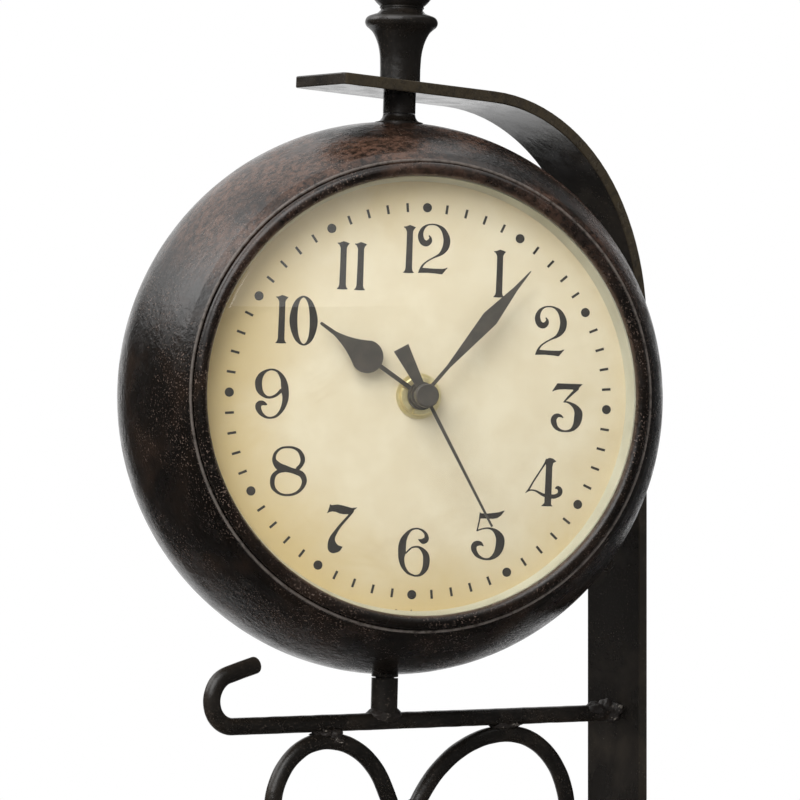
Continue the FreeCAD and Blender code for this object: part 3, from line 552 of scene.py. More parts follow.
# Each numeral is drawn upright about its middle, in millimetres: pen strokes of (x, y, width) through which
# a curve runs, and patches of (x, y) corners for the parts that a pen doesn't draw.
NUMERALS = {
    "0": ([[(-0.7, 8, 0.6), (1.8, 5.8, 1.75), (3.1, 0.1, 2.75), (2.3, -5.6, 1.75), (0, -8, 0.6),
           (-2.5, -5.7, 1.75), (-3.8, -0.1, 2.7), (-3, 5.6, 1.75), (-0.7, 8, 0.6)]], []),
    "1": ([],
          [[(-2.4, 7.4), (-1.3, 7.6), (-0.2, 8.1), (0.9, 7.8), (1.9, 7.4), (1.3, 6.7), (0.95, 5.9),
           (1.0, 1.7), (1.1, -6.4), (1.3, -7.2), (1.9, -7.9), (0, -8.05), (-2.1, -8.0), (-1.4, -7.3),
           (-1.15, -6.4), (-1.1, 1.6), (-1.15, 5.8), (-1.6, 6.8)]]),
    "2": ([[(-1.9, 4.6, 0.25), (-1.4, 3.8, 0.8), (-1.6, 2.7, 1.55), (-2.7, 1.9, 2), (-4.1, 2.5, 2.05),
           (-4.8, 4.5, 1.85), (-4.2, 6.6, 1.25), (-2.7, 8, 0.6), (-0.7, 8.4, 0.5), (1.2, 8, 0.75),
           (3, 6.6, 1.55), (4.2, 3.9, 2.3), (4.1, 1.4, 2.3), (3.2, -0.4, 1.7), (2, -1.6, 1),
           (0.2, -2.6, 0.55), (-1.7, -3.7, 0.5), (-3.2, -4.9, 0.55), (-4.1, -6.2, 0.75),
           (-4.8, -7.8, 0.6)]],
          [[(-5.2, -8.1), (-4.4, -6.2), (-3.5, -6.3), (-0.2, -6.4), (3.3, -6.3), (4.1, -6.1),
           (5.1, -5.7), (3.1, -8.2), (0.7, -8), (-1.8, -7.9)]]),
    "3": ([[(3.4, 6.3, 1.2), (1.9, 4.8, 0.95), (0.3, 3.1, 0.75), (-1, 1.7, 0.4)],
           [(-1.1, 1.6, 0.35), (0.2, 1.6, 0.6), (1.8, 0.9, 1.1), (3.2, -0.2, 1.9), (4.1, -1.8, 2.75),
           (4.1, -3.4, 2.85), (3.8, -5.1, 2.5), (3.1, -6.5, 1.85), (1.9, -7.7, 1.1), (0, -8.2, 0.65),
           (-1.9, -8, 0.9), (-3.4, -7.1, 1.4), (-4.2, -5.7, 1.9), (-4.4, -4.5, 2), (-3.9, -3.5, 1.8),
           (-2.9, -3, 1.25), (-1.9, -3.2, 0.85), (-1.1, -3.7, 0.25)]],
          [[(-5.5, 4.8), (-3.6, 7.8), (5.3, 7.9), (3.8, 6.4), (3, 5.7), (1.7, 5.9), (-0.9, 5.9),
           (-3.1, 5.7), (-4.2, 5.4)]]),
    "4": ([[(1.5, 7, 2.2), (1.5, 0.1, 2.3), (1.5, -7.0, 2.35)],
           [(0.6, 7.4, 0.9), (-0.4, 5.5, 0.6), (-3.6, 0.3, 0.55), (-5.2, -2.6, 0.6),
           (-6.3, -3.9, 0.25)],
           [(-6.1, -3.6, 0.3), (-5.2, -3.1, 0.45), (-4, -2.9, 0.5), (-2.6, -3.2, 0.65),
           (-1.2, -3.9, 0.9), (0.3, -4.5, 1.1), (3, -4.8, 1.45), (4.2, -4.6, 1.4), (5.3, -4, 1.5),
           (5.7, -3, 1.6), (5.4, -2.2, 1.5), (4.8, -1.7, 1.1), (4.1, -1.9, 0.55)]],
          [[(0.2, 7.4), (1.5, 8.2), (2.7, 8), (4, 7.1), (2.9, 6.5), (2.7, 5.4), (0.4, 5.3)],
           [(-0.9, -8.2), (-0.4, -7.8), (0.3, -7), (2.6, -6.9), (2.8, -7.7), (3.4, -8.1)]]),
    "5": ([[(-3, 7.1, 0.5), (-3.2, 5.4, 0.5), (-3.6, 3.2, 0.5), (-3.9, 1.5, 0.45)],
           [(-4, 1.3, 0.45), (-2.5, 1.9, 0.45), (-0.5, 2.3, 0.55), (1.3, 2, 0.9), (2.8, 1, 1.8),
           (3.9, -0.5, 2.7), (4.2, -2, 3), (4, -3.9, 2.9), (3.4, -5.6, 2.4), (2.5, -6.8, 1.8),
           (1.3, -7.7, 1.1), (-0.1, -8.1, 0.7), (-1.8, -7.9, 0.8), (-3.5, -7, 1.3), (-4.5, -5.7, 1.65),
           (-4.9, -4.4, 1.95), (-4.5, -3.3, 1.9), (-3.5, -2.9, 1.7), (-2.5, -3, 1.2),
           (-1.6, -3.7, 0.25)]],
          [[(-3.3, 7.6), (-2.8, 7.2), (-0.7, 7.2), (1.5, 7.5), (3.3, 7.8), (4.4, 8.2), (5.5, 8.6),
           (5, 7.9), (4.1, 6.7), (2.9, 5.8), (1.3, 5.5), (-1.2, 5.5), (-3.5, 5.4)]]),
    "6": ([[(1.6, 4.3, 0.25), (2.5, 3.9, 1.1), (3.4, 3.8, 1.9), (4.3, 4.6, 1.7), (4.1, 6.1, 1.1),
           (3.1, 7.2, 0.8), (1.8, 7.8, 0.6), (0.5, 7.9, 0.55), (-1, 7.4, 0.75), (-2.4, 6, 1.35),
           (-3.5, 4, 2.15), (-3.9, 1.8, 2.65), (-3.9, -0.2, 2.6), (-4, -2.1, 2.05), (-3.5, -4.3, 1.6),
           (-2.6, -5.9, 1.2), (-1.2, -7.2, 0.85), (0.8, -7.9, 0.6)],
           [(0.8, -7.9, 0.6), (2.4, -7.6, 0.85), (3.6, -6.5, 1.5), (4.4, -4.8, 2.1), (4.6, -2.6, 2.3),
           (4.3, -0.7, 2.05), (3.2, 0.8, 1.35), (1.9, 1.7, 0.8), (0.6, 1.8, 0.6), (-0.7, 1.4, 0.55),
           (-1.9, 0.3, 0.55), (-2.6, -0.5, 0.45)]], []),
    "7": ([[(3.2, 6.1, 1), (2.2, 4.7, 0.85), (0.7, 2.9, 0.9), (-1, 0.8, 1), (-2.3, -1.2, 1.3),
           (-3.2, -2.9, 1.8), (-3.4, -4.6, 2.6), (-3, -6, 3.5), (-2.8, -6.3, 3.6)],
           [(-2.8, -6.3, 3.4), (-1.5, -6.5, 2.4), (-0.6, -6.2, 1.3), (0.2, -5.9, 0.3)]],
          [[(-4.5, 8.2), (-3.9, 7.9), (-2, 8.2), (-0.3, 8), (1.4, 7.6), (3, 7.2), (4.9, 7.5),
           (3.9, 6.6), (3, 5.4), (2, 5.1), (0.3, 5), (-1.1, 5.2), (-2.5, 5.7), (-3.6, 5.8),
           (-4.7, 5.5), (-5.6, 4.8), (-5.1, 5.9), (-4.7, 7.2)]]),
    "8": ([[(-2.1, 0.3, 1.2), (-3.7, 1.2, 1.9), (-4.9, 2.9, 1.6), (-5.2, 4.2, 1.2), (-4.7, 5.9, 1),
           (-3.1, 7.4, 0.75), (-1.1, 7.9, 0.7), (1.2, 7.8, 0.85), (3.2, 6.8, 1.2), (4.3, 5, 1.6),
           (4.5, 3.5, 1.5), (3.9, 2, 1.3), (3, 1, 1.4)],
           [(-4.9, 2.9, 1.6), (-3.2, 1.5, 2.1), (-1.3, 0.8, 2.2), (0.7, 0.3, 1.8), (2.6, -0.2, 1.9),
           (4.3, -0.9, 1.95), (5.2, -2.3, 1.85), (5.3, -3.7, 1.6), (4.6, -5.4, 1.25), (3.3, -6.8, 1),
           (1.5, -7.7, 0.85), (-0.7, -8, 0.75), (-2.6, -7.7, 0.85), (-4.2, -6.7, 1.1),
           (-5.2, -5.4, 1.45), (-5.5, -3.6, 1.6), (-5.2, -2, 1.6), (-4.4, -0.9, 1.4),
           (-3.2, -0.1, 1.4), (-1.8, 0.2, 1.4)]], []),
    "9": ([[(1.7, 7.5, 0.8), (0.4, 8, 0.7), (-1, 8, 0.65), (-2.5, 7.4, 0.95), (-3.9, 6.1, 1.7),
           (-4.6, 4.5, 2.25), (-4.7, 3, 2.4), (-4.3, 1.2, 2.15), (-3.3, -0.2, 1.5), (-1.9, -1.1, 0.95),
           (-0.5, -1.2, 0.8), (0.9, -0.7, 0.9), (2.1, 0.2, 1), (3, 1.2, 1.2)],
           [(1.7, 7.5, 0.8), (2.7, 6.4, 1.35), (3.6, 4.9, 1.85), (4.1, 3, 2.4), (4.4, 1, 2.5),
           (4.6, -0.9, 2.15), (4.4, -2.7, 1.85), (3.8, -4.6, 1.45), (2.9, -6.1, 1.1),
           (1.6, -7.4, 0.85), (-0.3, -8, 0.7), (-2, -7.7, 0.9), (-3.5, -6.6, 1.4), (-4.3, -5.3, 1.85),
           (-4.5, -4.2, 2.05), (-4, -3.4, 1.9), (-3, -3.2, 1.5), (-2.1, -3.5, 0.9),
           (-1.6, -3.7, 0.25)]], []),
}

# Where each digit's middle stands on the dial, from the hands' axis, across and up.
DIGITS = (("1", -5.1, 49.0), ("2", 3.3, 49.3), ("1", 26.3, 42.4), ("2", 44.8, 23.8), ("3", 51.4, -1.3),
          ("4", 44.6, -26.9), ("5", 26.0, -45.5), ("6", 0.4, -52.2), ("7", -24.2, -45.5),
          ("8", -43.1, -26.9), ("9", -49.9, -1.5), ("1", -47.6, 23.4), ("0", -39.9, 23.3),
          ("1", -27.5, 42.4), ("1", -21.6, 42.4))
DIGIT_REACH = 9.6
PRINT_GAP, PRINT_THICKNESS = 0.01, 0.03
# The minute circle, and how far the print puts its centre from the hands' axis.
DOT_CIRCLE, DOT_RADIUS = 64.8, 1.55
TICK_INNER, TICK_OUTER, TICK_HALF_WIDTH = 63.3, 66.3, 0.42
PRINT_SHIFT = (0.45, -1.6, 0.0)
SETTING_MARKS, MARK_WIDTH, MARK_LOW, MARK_HIGH = (-4.9, 0.3), 0.35, -73.0, -71.4


def pen_distance(x, y, strokes, patches):
    """Distance to the ink's edge, less than 0 inside. For a stroke it is the distance to the curve's
    nearest point less half the pen's width there, and for a patch the distance to its nearest side."""
    distance = np.full(x.shape, 99.0)
    for stroke in strokes:
        for px, py, width in smooth_path(stroke, 22 * len(stroke)):
            np.minimum(distance, np.hypot(x - px, y - py) - max(width, 0.1) / 2, out=distance)
    for patch in patches:
        corners = np.array(patch, float)
        after = np.roll(corners, -1, axis=0)
        edge = np.full(x.shape, 99.0)
        inside = np.zeros(x.shape, bool)
        for (ax, ay), (bx, by) in zip(corners, after):
            run, climb = bx - ax, by - ay
            along = np.clip(((x - ax) * run + (y - ay) * climb) / (run ** 2 + climb ** 2), 0, 1)
            edge = np.minimum(edge, np.hypot(x - ax - along * run, y - ay - along * climb))
            if ay != by:
                inside ^= ((ay > y) != (by > y)) & (x < run * (y - ay) / climb + ax)
        distance = np.minimum(distance, np.where(inside, -edge, edge))
    return distance


def inked(strokes, patches):
    """A thin plate over the ink: the squares of a grid inside it. Their outer corners move to the ink's
    edge, against the slope of the distance, by the distance over the slope squared."""
    cell = 0.17
    reach = np.arange(-DIGIT_REACH, DIGIT_REACH, cell)
    x, y = np.meshgrid(reach, reach, indexing="ij")
    distance = pen_distance(x, y, strokes, patches)
    inside = distance < 0.45 * cell
    keep = inside[:-1, :-1] & inside[1:, :-1] & inside[1:, 1:] & inside[:-1, 1:]
    padded = np.pad(keep, 1)
    used = padded[:-1, :-1] | padded[1:, :-1] | padded[1:, 1:] | padded[:-1, 1:]
    full = padded[:-1, :-1] & padded[1:, :-1] & padded[1:, 1:] & padded[:-1, 1:]
    slope_x, slope_y = np.gradient(distance, cell)
    slope = np.maximum(np.hypot(slope_x, slope_y), 0.5)
    shift = np.where(used & ~full, np.clip(distance, -cell, cell), 0) / slope ** 2
    x, y = x - shift * slope_x, y - shift * slope_y
    return prism(x, y, keep)


def prism(x, y, keep):
    """The kept squares of a grid as a plate: top, underside, and a wall where no neighbour is kept."""
    rows, columns = x.shape
    number = np.arange(rows * columns).reshape(rows, columns)
    a, b, c, d = number[:-1, :-1], number[1:, :-1], number[1:, 1:], number[:-1, 1:]
    count = rows * columns
    faces = [np.stack([a, b, c, d], -1)[keep]]
    faces.append(faces[0][:, ::-1] + count)
    padded = np.pad(keep, 1)
    for start, end, near in ((a, b, padded[1:-1, :-2]), (b, c, padded[2:, 1:-1]), (c, d, padded[1:-1, 2:]),
                             (d, a, padded[:-2, 1:-1])):
        open_side = keep & ~near
        s, e = start[open_side], end[open_side]
        faces.append(np.column_stack([e, s, s + count, e + count]))
    flat = np.column_stack([x.ravel(), y.ravel()])
    points = np.vstack([np.column_stack([flat, np.full(count, PRINT_THICKNESS)]),
                        np.column_stack([flat, np.zeros(count)])])
    faces = np.vstack(faces)
    used, faces = np.unique(faces, return_inverse=True)
    return points[used], faces.reshape(-1, 4)


def mark(corners):
    """A flat mark with a given outline, as a plate of four sided faces between the outline's two halves."""
    half = len(corners) // 2
    x = np.array([corners[:half], corners[half:][::-1]])
    return prism(x[:, :, 0], x[:, :, 1], np.ones((1, half - 1), bool))


def minute_mark(minute):
    """The outline of one mark of the minute circle: a dot at an hour, or else an oblong tick."""
    turn = math.radians(90 - 6 * minute)
    outward = np.array([math.cos(turn), math.sin(turn)])
    sideways = np.array([-math.sin(turn), math.cos(turn)])
    if minute % 5 == 0:
        return arc(DOT_CIRCLE * outward, DOT_RADIUS, 0, 345, 24)
    ends = [(TICK_INNER, -TICK_HALF_WIDTH), (TICK_INNER, TICK_HALF_WIDTH),
            (TICK_OUTER, TICK_HALF_WIDTH), (TICK_OUTER, -TICK_HALF_WIDTH)]
    return np.array([out * outward + side_step * sideways for out, side_step in ends])


def dial_print(side):
    """Numerals, a dot at each hour, ticks between them and two small marks for setting the dial straight,
    turned about the hands' axis as the dial is set: x cosine less y sine, and x sine plus y cosine."""
    plates = []
    for digit, x, y in DIGITS:
        points, faces = inked(*NUMERALS[digit])
        plates.append((points + [x, y, 0], faces))
    for minute in range(60):
        points, faces = mark(minute_mark(minute))
        plates.append((points + PRINT_SHIFT, faces))
    for left in SETTING_MARKS:
        right = left + MARK_WIDTH
        corners = [(left, MARK_LOW), (left, MARK_HIGH), (right, MARK_HIGH), (right, MARK_LOW)]
        plates.append(mark(np.array(corners)))
    starts = np.cumsum([0] + [len(points) for points, faces in plates])
    squares = np.vstack([faces + start for (points, faces), start in zip(plates, starts)])
    x, y, height = np.vstack([points for points, faces in plates]).T
    turn = -math.radians(DIAL_SET[side])
    turned_x = x * math.cos(turn) - y * math.sin(turn)
    turned_y = x * math.sin(turn) + y * math.cos(turn)
    placed = np.column_stack([turned_x, turned_y, height + DIAL_LEVEL + PRINT_GAP])
    return solid(f"{side}_dial_print", on_face(side)(placed), [squares], sharp=25.0)


# ---- bracket -----------------------------------------------------------------------------------------

def rod(name, path, headings, seed, first_free, last_free):
    """Round bar along a path, slightly uneven: a ring of the bar's radius at each point, which shrinks
    along a quarter circle near a free end."""
    rounding = 1.2
    steps = np.concatenate([[0], np.cumsum(np.linalg.norm(np.diff(path, axis=0), axis=1))])
    angles = np.linspace(0, 2 * math.pi, 28, endpoint=False)
    tip = np.array([0, 0.08, 0.25, 0.5, 0.8, rounding])
    marks = steps
    if first_free:
        marks = np.concatenate([tip, marks[marks > rounding + 0.1]])
    if last_free:
        marks = np.concatenate([marks[marks < steps[-1] - rounding - 0.1], steps[-1] - tip[::-1]])
    path = np.column_stack([np.interp(marks, steps, path[:, k]) for k in range(2)])
    headings = np.interp(marks, steps, headings)

    def section(i):
        """The bar's ring at one mark: across, along y, and its bronze share: a stripe along the top, partly
        rubbing and partly a painted highlight, and rubbing at a free end.
        """
        gap = min(marks[i] if first_free else 9.0, steps[-1] - marks[i] if last_free else 9.0)
        short = max(rounding - gap, 0)
        radius = ROD - (rounding - math.sqrt(max(rounding ** 2 - short ** 2, 0)))
        # A stripe on one side of the bar: partly rubbing, partly a painted highlight.
        top = np.clip(np.cos(angles), 0, 1) ** 6
        return radius * np.cos(angles), radius * np.sin(angles), 0.25 * top + (0.6 if gap < 1 else 0)
    return forged(name, path, headings, section, sharp=50.0, uneven=0.06, seed=seed)


def backward(path, headings):
    """The same path from its other end."""
    return path[::-1], headings[::-1] + 180


def rail():
    """The rail from the strap to its free end, which bends back over itself as a hook."""
    past_axis, hook_bend, hook_tip = 69.5, (8.8, -165.0), 12.9
    strap_place = REACH - STRAP_THICKNESS
    path, headings = course(rail_at(strap_place), 180 - RAIL_RISE, (strap_place + past_axis,), hook_bend,
                            (hook_tip,), spacing=0.9)
    return rod("round_rail", path, headings, seed=11, first_free=False, last_free=True)


def small_scroll():
    """One bar: the curl's end, the eye, over the top, down the leg and along the brace to the strap."""
    eye, curl_end = (22.5, 180.0), (15.0, 100.0)
    slope, shoulder_radius, leg_run, knee_radius, foot_run = 64.0, 29.0, 18.0, 62.0, 8.0
    top = under_rail(SMALL_SCROLL_PLACE)
    curl = backward(*course(top, 180 - RAIL_RISE, eye, curl_end, spacing=0.9))
    leg, turns = course(top, -RAIL_RISE, (shoulder_radius, RAIL_RISE - slope), (leg_run,),
                        (knee_radius, slope), spacing=0.9)
    landing = -STRAP_THICKNESS - ROD - leg[-1, 0]
    foot, foot_turns = course(leg[-1], 0, (landing, -90.0), (foot_run,), spacing=0.9)
    path = np.vstack([curl[0], leg[1:], foot[1:]])
    headings = np.concatenate([curl[1] - 360, turns[1:], foot_turns[1:]])
    return rod("small_scroll", path, headings, seed=12, first_free=True, last_free=True)


def large_scroll():
    """One bar: the curl's end, the eye, over the top and down to the small scroll's leg."""
    eye, inner_bends, leg_bend = (29.7, -180.0), ((22.0, -90.0), (13.0, -70.0)), (46.5, 64.0)
    top = under_rail(LARGE_SCROLL_PLACE)
    curl = backward(*course(top, -RAIL_RISE, eye, *inner_bends, spacing=0.9))
    leg, turns = course(top, 180 - RAIL_RISE, leg_bend, spacing=0.9)
    path = np.vstack([curl[0], leg[1:]])
    headings = np.concatenate([curl[1], turns[1:]])
    return rod("large_scroll", path, headings, seed=13, first_free=True, last_free=False)


def weld(name, centre, size, seed, lumps):
    """A bead of weld: a ball drawn out to three half sizes, its radius varied by smooth random waves."""
    rows, columns = 24, 40
    up = np.linspace(-math.pi / 2, math.pi / 2, rows + 2)[1:-1]
    around = np.linspace(0, 2 * math.pi, columns, endpoint=False)
    ball = np.stack([np.cos(up)[:, None] * np.cos(around), np.cos(up)[:, None] * np.sin(around),
                     np.repeat(np.sin(up)[:, None], columns, axis=1)], axis=-1).reshape(-1, 3)
    ball = np.vstack([ball, [[0, 0, -1], [0, 0, 1]]])
    swell = 1 + lumps * ripple(ball, seed, pitch=1.1) + 0.4 * lumps * ripple(ball, seed + 50, pitch=0.45)
    ball = ball * swell[:, None]
    points = (ball * size + [centre[0], 0, centre[1]]) / 1000
    return solid(name, points, capped_tube(rows, columns), sharp=60.0)


# ---- turned pieces on the axis -----------------------------------------------------------------------

def finial_profile():
    """The finial from its foot up: a flared body, a round lip, a neck and a ball with a knob. The ball
    starts where its circle has the neck's radius."""
    ball_radius, neck_radius, knob_radius = 12.0, 7.3, 3.0
    foot = [(0, 0), (6.6, 0), (6.95, 0.4), (6.95, 5.0)]
    flare = smooth_path([(7.0, 6.4), (7.2, 9.6), (7.75, 12.6), (8.6, 15.2), (9.75, 17.4), (11.0, 18.7)], 30)
    lip = arc((10.35, 21.0), 2.2, -58, 72, 20)
    cove = smooth_path([(9.9, 23.5), (8.5, 24.0), (7.8, 24.6), (7.3, 25.2)], 10)
    neck = [(7.3, 25.7), (7.65, 25.9), (7.65, 26.3), (7.35, 26.5)]
    centre = 26.4 + math.sqrt(ball_radius ** 2 - neck_radius ** 2)
    first_angle = -math.degrees(math.acos((neck_radius + 0.1) / ball_radius))
    ball = arc((0, centre), ball_radius, first_angle, 69.5, 44)
    low = ball[-1, 1]
    stalk = [(1.9, low + 0.3), (1.75, low + 1.2)]
    knob = arc((0, low + 4.2), knob_radius, -55, 90, 20)
    knob[-1, 0] = 0
    profile = np.vstack([foot, flare, lip, cove, neck, ball, stalk, knob])
    return profile + [0, FINIAL_SEAT]


def boss_profile():
    """The short boss over the socket: a ring round the pivot with a small chamfer below."""
    bore_radius, radius, top, foot, chamfer = 3.35, 4.6, -94.2, -95.8, 0.2
    return [(bore_radius, top), (radius, top), (radius, foot + chamfer), (radius - chamfer, foot),
            (bore_radius, foot)]


# ---- building ----------------------------------------------------------------------------------------

BLACK, BROWN, RUST = (0.0050, 0.0036, 0.0026), (0.021, 0.0125, 0.008), (0.13, 0.09, 0.07)
# Case and bezel paint: the copper towards the top is partly a painted sheen, and the bronze share partly
# painted highlight and reflection.
case_paint = antiqued_paint("case_paint", BLACK, BROWN, (0.125, 0.105, 0.09), RUST,
                            gloss=0.20, grain=0.38, freckles=0.605, copper=0.6)
bezel_paint = antiqued_paint("bezel_paint", BLACK, BROWN, (0.10, 0.062, 0.042), RUST,
                             gloss=0.22, grain=0.25, freckles=0.595, copper=0.25)
iron_paint = antiqued_paint("iron_paint", (0.009, 0.0075, 0.006), (0.024, 0.018, 0.013),
                            (0.06, 0.045, 0.035), (0.08, 0.06, 0.045),
                            gloss=0.28, grain=0.32, freckles=0.62)
strap_paint = antiqued_paint("strap_paint", (0.016, 0.014, 0.012), (0.034, 0.028, 0.022),
                             (0.050, 0.038, 0.022), (0.07, 0.055, 0.04), gloss=0.14, grain=0.10,
                             freckles=0.64, across=STRAP_WIDTH / 2000)
weld_finish = weld_metal()
paper, ink, clear = dial_paper(), dial_ink(), clear_glass()
ring_finish = plain_finish("pale_ring", (0.50, 0.475, 0.37), (0.60, 0.575, 0.46), 60.0, (0.42, 0.5),
                           grain=0.05)
brass = plain_finish("turned_brass", (0.70, 0.58, 0.30), (0.82, 0.72, 0.44), 240.0, (0.38, 0.48),
                     metal=0.75)
hand_paint = plain_finish("hand_paint", (0.052, 0.044, 0.036), (0.082, 0.068, 0.054), 160.0, (0.45, 0.55),
                          grain=0.1)
steel = plain_finish("plated_steel", (0.42, 0.41, 0.39), (0.58, 0.57, 0.54), 300.0, (0.28, 0.42), metal=1.0)
black_plastic = plain_finish("black_plastic", (0.014, 0.014, 0.015), (0.024, 0.024, 0.025), 500.0,
                             (0.42, 0.52))
grey_plastic = plain_finish("grey_plastic", (0.20, 0.20, 0.21), (0.26, 0.26, 0.27), 500.0, (0.4, 0.5))
rubber = plain_finish("rubber", (0.012, 0.012, 0.012), (0.022, 0.021, 0.020), 350.0, (0.72, 0.85))
ferrite = plain_finish("ferrite", (0.035, 0.035, 0.038), (0.06, 0.06, 0.062), 700.0, (0.5, 0.65))
copper = plain_finish("enamelled_wire", (0.45, 0.16, 0.07), (0.62, 0.26, 0.12), 1800.0, (0.25, 0.35),
                      metal=1.0, grain=0.6)
wrap = plain_finish("battery_wrap", (0.03, 0.03, 0.035), (0.05, 0.05, 0.055), 90.0, (0.3, 0.4))

ride(case_body(), "clock_head", case_paint, "case_shell")
ride(rail(), "bracket", iron_paint, "bottom_rail")
ride(small_scroll(), "bracket", iron_paint, "front_scroll")
ride(large_scroll(), "bracket", iron_paint, "rear_scroll")
ride(turned("pivot_boss", boss_profile(), on_axis, around=64, sharp=35.0), "clock_head", iron_paint)
ride(turned("turned_finial", finial_profile(), on_axis, around=96, sharp=35.0), "clock_head", iron_paint,
     "finial")

for side in ("front", "rear"):
    ride(bezel(side), "clock_head", bezel_paint, f"{side}_bezel")
    ride(glass(side), "clock_head", clear, f"{side}_glass")
    ride(dial_sheet(side), "clock_head", paper, f"{side}_dial")
    ride(dial_print(side), "clock_head", ink)
    ride(slotted_nut(side), "clock_head", brass, f"{side}_dial_nut")

# Each weld by its place along the rail and over it, its three half sizes and how lumpy it is.
WELDS = (("rail_weld", (100.5, 0.8), (5.4, 4.8, 3.5), 0.34),
         ("rail_weld_run", (94.0, 0.8), (5.0, 3.7, 2.9), 0.22),
         ("small_scroll_weld", (SMALL_SCROLL_PLACE, -3.0), (6.5, 2.6, 1.7), 0.3),
         ("scroll_lump", (-26.6, -4.6), (3.6, 3.4, 3.3), 0.34),
         ("large_scroll_weld", (LARGE_SCROLL_PLACE, -3.0), (7.0, 2.4, 1.6), 0.3),
         ("socket_weld", (-3.6, 2.1), (7.0, 4.7, 3.1), 0.07),
         ("brace_weld", (102.0, -113.0), (2.0, 3.4, 7.0), 0.3),
         ("leg_weld", (10.5, -30.5), (3.2, 3.0, 3.2), 0.3))
for seed, (name, (place, over), size, lumps) in enumerate(WELDS):
    ride(weld(name, rail_at(place) + [0, over], size, seed + 1, lumps), "bracket", weld_finish)

FINISHES = {
    "wall_strap": strap_paint, "upper_stem": iron_paint, "lower_socket": iron_paint,
    "stem_collar": iron_paint, "case_screw": iron_paint, "pivot": iron_paint, "case_hoop": steel,
    "spindle": steel, "bolt_washers": steel, "dial_ring": ring_finish, "dial_retainer": black_plastic,
    "rubber_washer": rubber, "dial_washer": brass, "movement_housing": black_plastic,
    "movement_cover": black_plastic, "set_button": grey_plastic, "battery": wrap,
    "battery_contacts": steel, "antenna_rod": ferrite, "antenna_coil": copper, "hour_hand": hand_paint,
    "minute_hand": hand_paint, "second_hand": hand_paint, "hour_tube": brass, "minute_tube": brass,
    "second_arbor": steel,
}
for name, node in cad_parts.items():
    piece = name.removeprefix("front_").removeprefix("rear_")
    finish = FINISHES.get(name) or FINISHES.get(piece)
    if finish:
        node.data.materials.clear()
        node.data.materials.append(finish)


# ---- camera, stage and light -------------------------------------------------------------------------

HEAD = Vector((-REACH / 1000, 0, 0))


def camera():
    """Stands 1.55 m from the head, level with the dial, 40 degrees round from square to the bracket."""
    distance, to_right, down = 1.548, 0.002786, 0.000688
    yaw = math.radians(40.0)
    ahead, right = Vector((math.sin(yaw), math.cos(yaw), 0)), Vector((math.cos(yaw), -math.sin(yaw), 0))
    data = bpy.data.cameras.new("photo_camera")
    data.sensor_width, data.lens, data.clip_start = 36.0, 202.5, 0.05
    eye = bpy.data.objects.new("photo_camera", data)
    eye.location = HEAD + to_right * right - Vector((0, 0, down)) - distance * ahead
    eye.rotation_euler = (math.radians(90), 0, -yaw)
    bpy.context.scene.collection.objects.link(eye)
    bpy.context.scene.camera = eye


def lamp(name, place, width, height, watts):
    """A soft oblong lamp, in metres, that looks at the head."""
    data = bpy.data.lights.new(name, "AREA")
    data.shape, data.size, data.size_y, data.energy = "RECTANGLE", width, height, watts
    light = bpy.data.objects.new(name, data)
    light.location = place
    light.rotation_euler = (HEAD - Vector(place)).to_track_quat("-Z", "Y").to_euler()
    bpy.context.scene.collection.objects.link(light)


def floor():
    """A pale round floor under the object."""
    radius, level, sides = 1.8, -2.0, 96
    angles = np.linspace(0, 2 * math.pi, sides, endpoint=False)
    ring = np.column_stack([radius * np.cos(angles) - 0.1, radius * np.sin(angles), np.full(sides, level)])
    mesh = bpy.data.meshes.new("floor")
    mesh.from_pydata(ring.tolist(), [], [list(range(sides))])
    plate = bpy.data.objects.new("floor", mesh)
    bpy.context.scene.collection.objects.link(plate)
    f = Finish("floor")
    f.surface(Base_Color=(0.86, 0.86, 0.86), Roughness=0.8)
    mesh.materials.append(f.material)


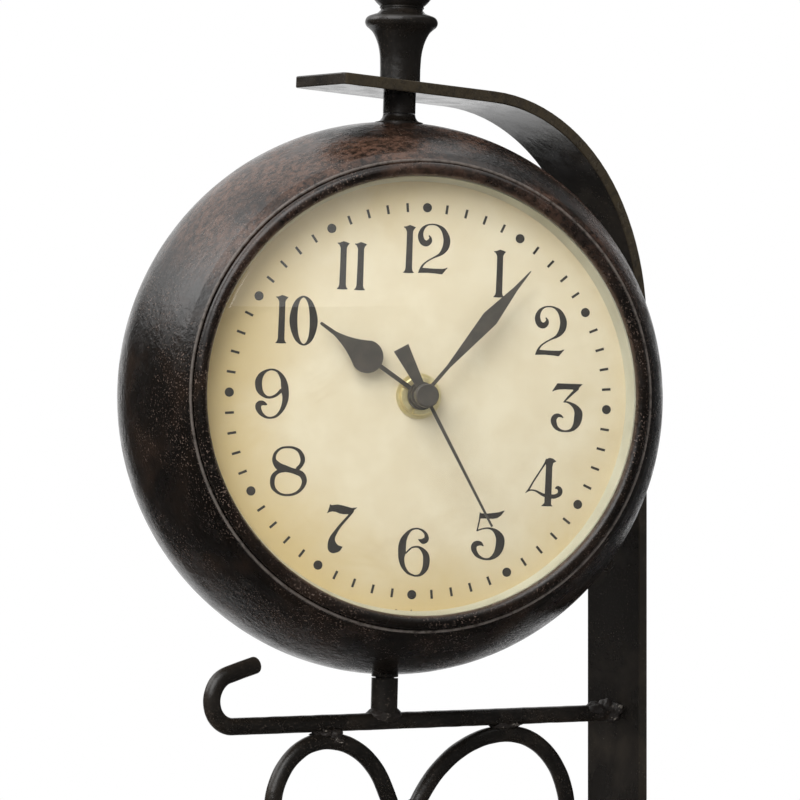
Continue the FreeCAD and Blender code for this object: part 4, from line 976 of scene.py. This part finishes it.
def dark_screen():
    """A dark round screen with a dark floor to it that only reflections see, and glass at half strength. It
    keeps the white out of the front's paint and glass below the lamp. Above its front's top it thins out to
    nothing towards the left, and behind the object it stays low and thins out at once."""
    count, radius, bottom, front_top, top = 120, 1.9, -1.98, 0.55, 2.2
    thin_until, thinning, behind_from = -128, 42, 35
    slope_angles, slope_heights = (48, 58), (-0.75, -1.4)
    angles = np.radians(np.linspace(-275, 85, count))
    way = np.column_stack([np.cos(angles), np.sin(angles)])
    behind = np.degrees(angles) > behind_from
    thick = np.clip((np.degrees(angles) - thin_until) / thinning, 0, 1)
    thick = thick * thick * (3 - 2 * thick)
    thick[behind] = 0
    wall = np.where(behind, np.interp(np.degrees(angles), slope_angles, slope_heights), front_top)
    levels = ((0.02, bottom, 1.0), (radius, bottom, 1.0), (radius, wall, 1.0),
              (radius, wall + 0.001, thick), (radius, top, thick))
    points = np.vstack([np.column_stack([reach * way + [-REACH / 1000, 0], np.ones(count) * level])
                        for reach, level, share in levels])
    mesh = bpy.data.meshes.new("dark_screen")
    mesh.from_pydata(points.tolist(), [], quads(len(levels), count, False, False).tolist())
    darkness = np.concatenate([np.ones(count) * share for reach, level, share in levels])
    mesh.attributes.new("darkness", "FLOAT", "POINT").data.foreach_set("value", darkness.astype(np.float32))
    plate = bpy.data.objects.new("dark_screen", mesh)
    bpy.context.scene.collection.objects.link(plate)
    f = Finish("dark_screen")
    shader = f.surface(Base_Color=(0.03, 0.03, 0.03), Roughness=0.9)
    path = f.node("LightPath")
    hidden = f.sum("MAXIMUM", path.outputs["Is Camera Ray"],
                   f.sum("MAXIMUM", path.outputs["Is Diffuse Ray"], path.outputs["Is Shadow Ray"]))
    hidden = f.sum("MAXIMUM", hidden, f.sum("MULTIPLY", path.outputs["Is Transmission Ray"], 0.5))
    thin = f.sum("SUBTRACT", 1.0, f.node("Attribute", attribute_name="darkness").outputs["Fac"])
    unseen = f.node("MixShader", {0: f.sum("MAXIMUM", hidden, thin), 1: shader,
                                  2: f.node("BsdfTransparent").outputs[0]})
    f.finish(unseen.outputs[0])
    mesh.materials.append(f.material)


def surroundings():
    """White for the camera and in reflections and glass, and a softer even light on everything else."""
    soft_colour, soft_strength = (0.97, 0.98, 1.0, 1), 0.87
    world = bpy.data.worlds.new("studio")
    bpy.context.scene.world = world
    world.use_nodes = True
    nodes, links = world.node_tree.nodes, world.node_tree.links
    nodes.clear()
    path = nodes.new("ShaderNodeLightPath")
    either, seen = nodes.new("ShaderNodeMath"), nodes.new("ShaderNodeMath")
    either.operation = seen.operation = "MAXIMUM"
    links.new(path.outputs["Is Camera Ray"], either.inputs[0])
    links.new(path.outputs["Is Transmission Ray"], either.inputs[1])
    links.new(either.outputs[0], seen.inputs[0])
    links.new(path.outputs["Is Glossy Ray"], seen.inputs[1])
    white, soft = nodes.new("ShaderNodeBackground"), nodes.new("ShaderNodeBackground")
    white.inputs["Color"].default_value = (1, 1, 1, 1)
    soft.inputs["Color"].default_value = soft_colour
    soft.inputs["Strength"].default_value = soft_strength
    mix = nodes.new("ShaderNodeMixShader")
    links.new(seen.outputs[0], mix.inputs[0])
    links.new(soft.outputs[0], mix.inputs[1])
    links.new(white.outputs[0], mix.inputs[2])
    links.new(mix.outputs[0], nodes.new("ShaderNodeOutputWorld").inputs["Surface"])


camera()
floor()
dark_screen()
surroundings()
lamp("key", (-1.27, -0.49, 1.14), width=1.3, height=1.6, watts=24.0)
lamp("rear", (-0.99, 1.05, 1.0), width=1.0, height=1.0, watts=8.0)
bpy.context.scene.view_settings.view_transform = "Standard"
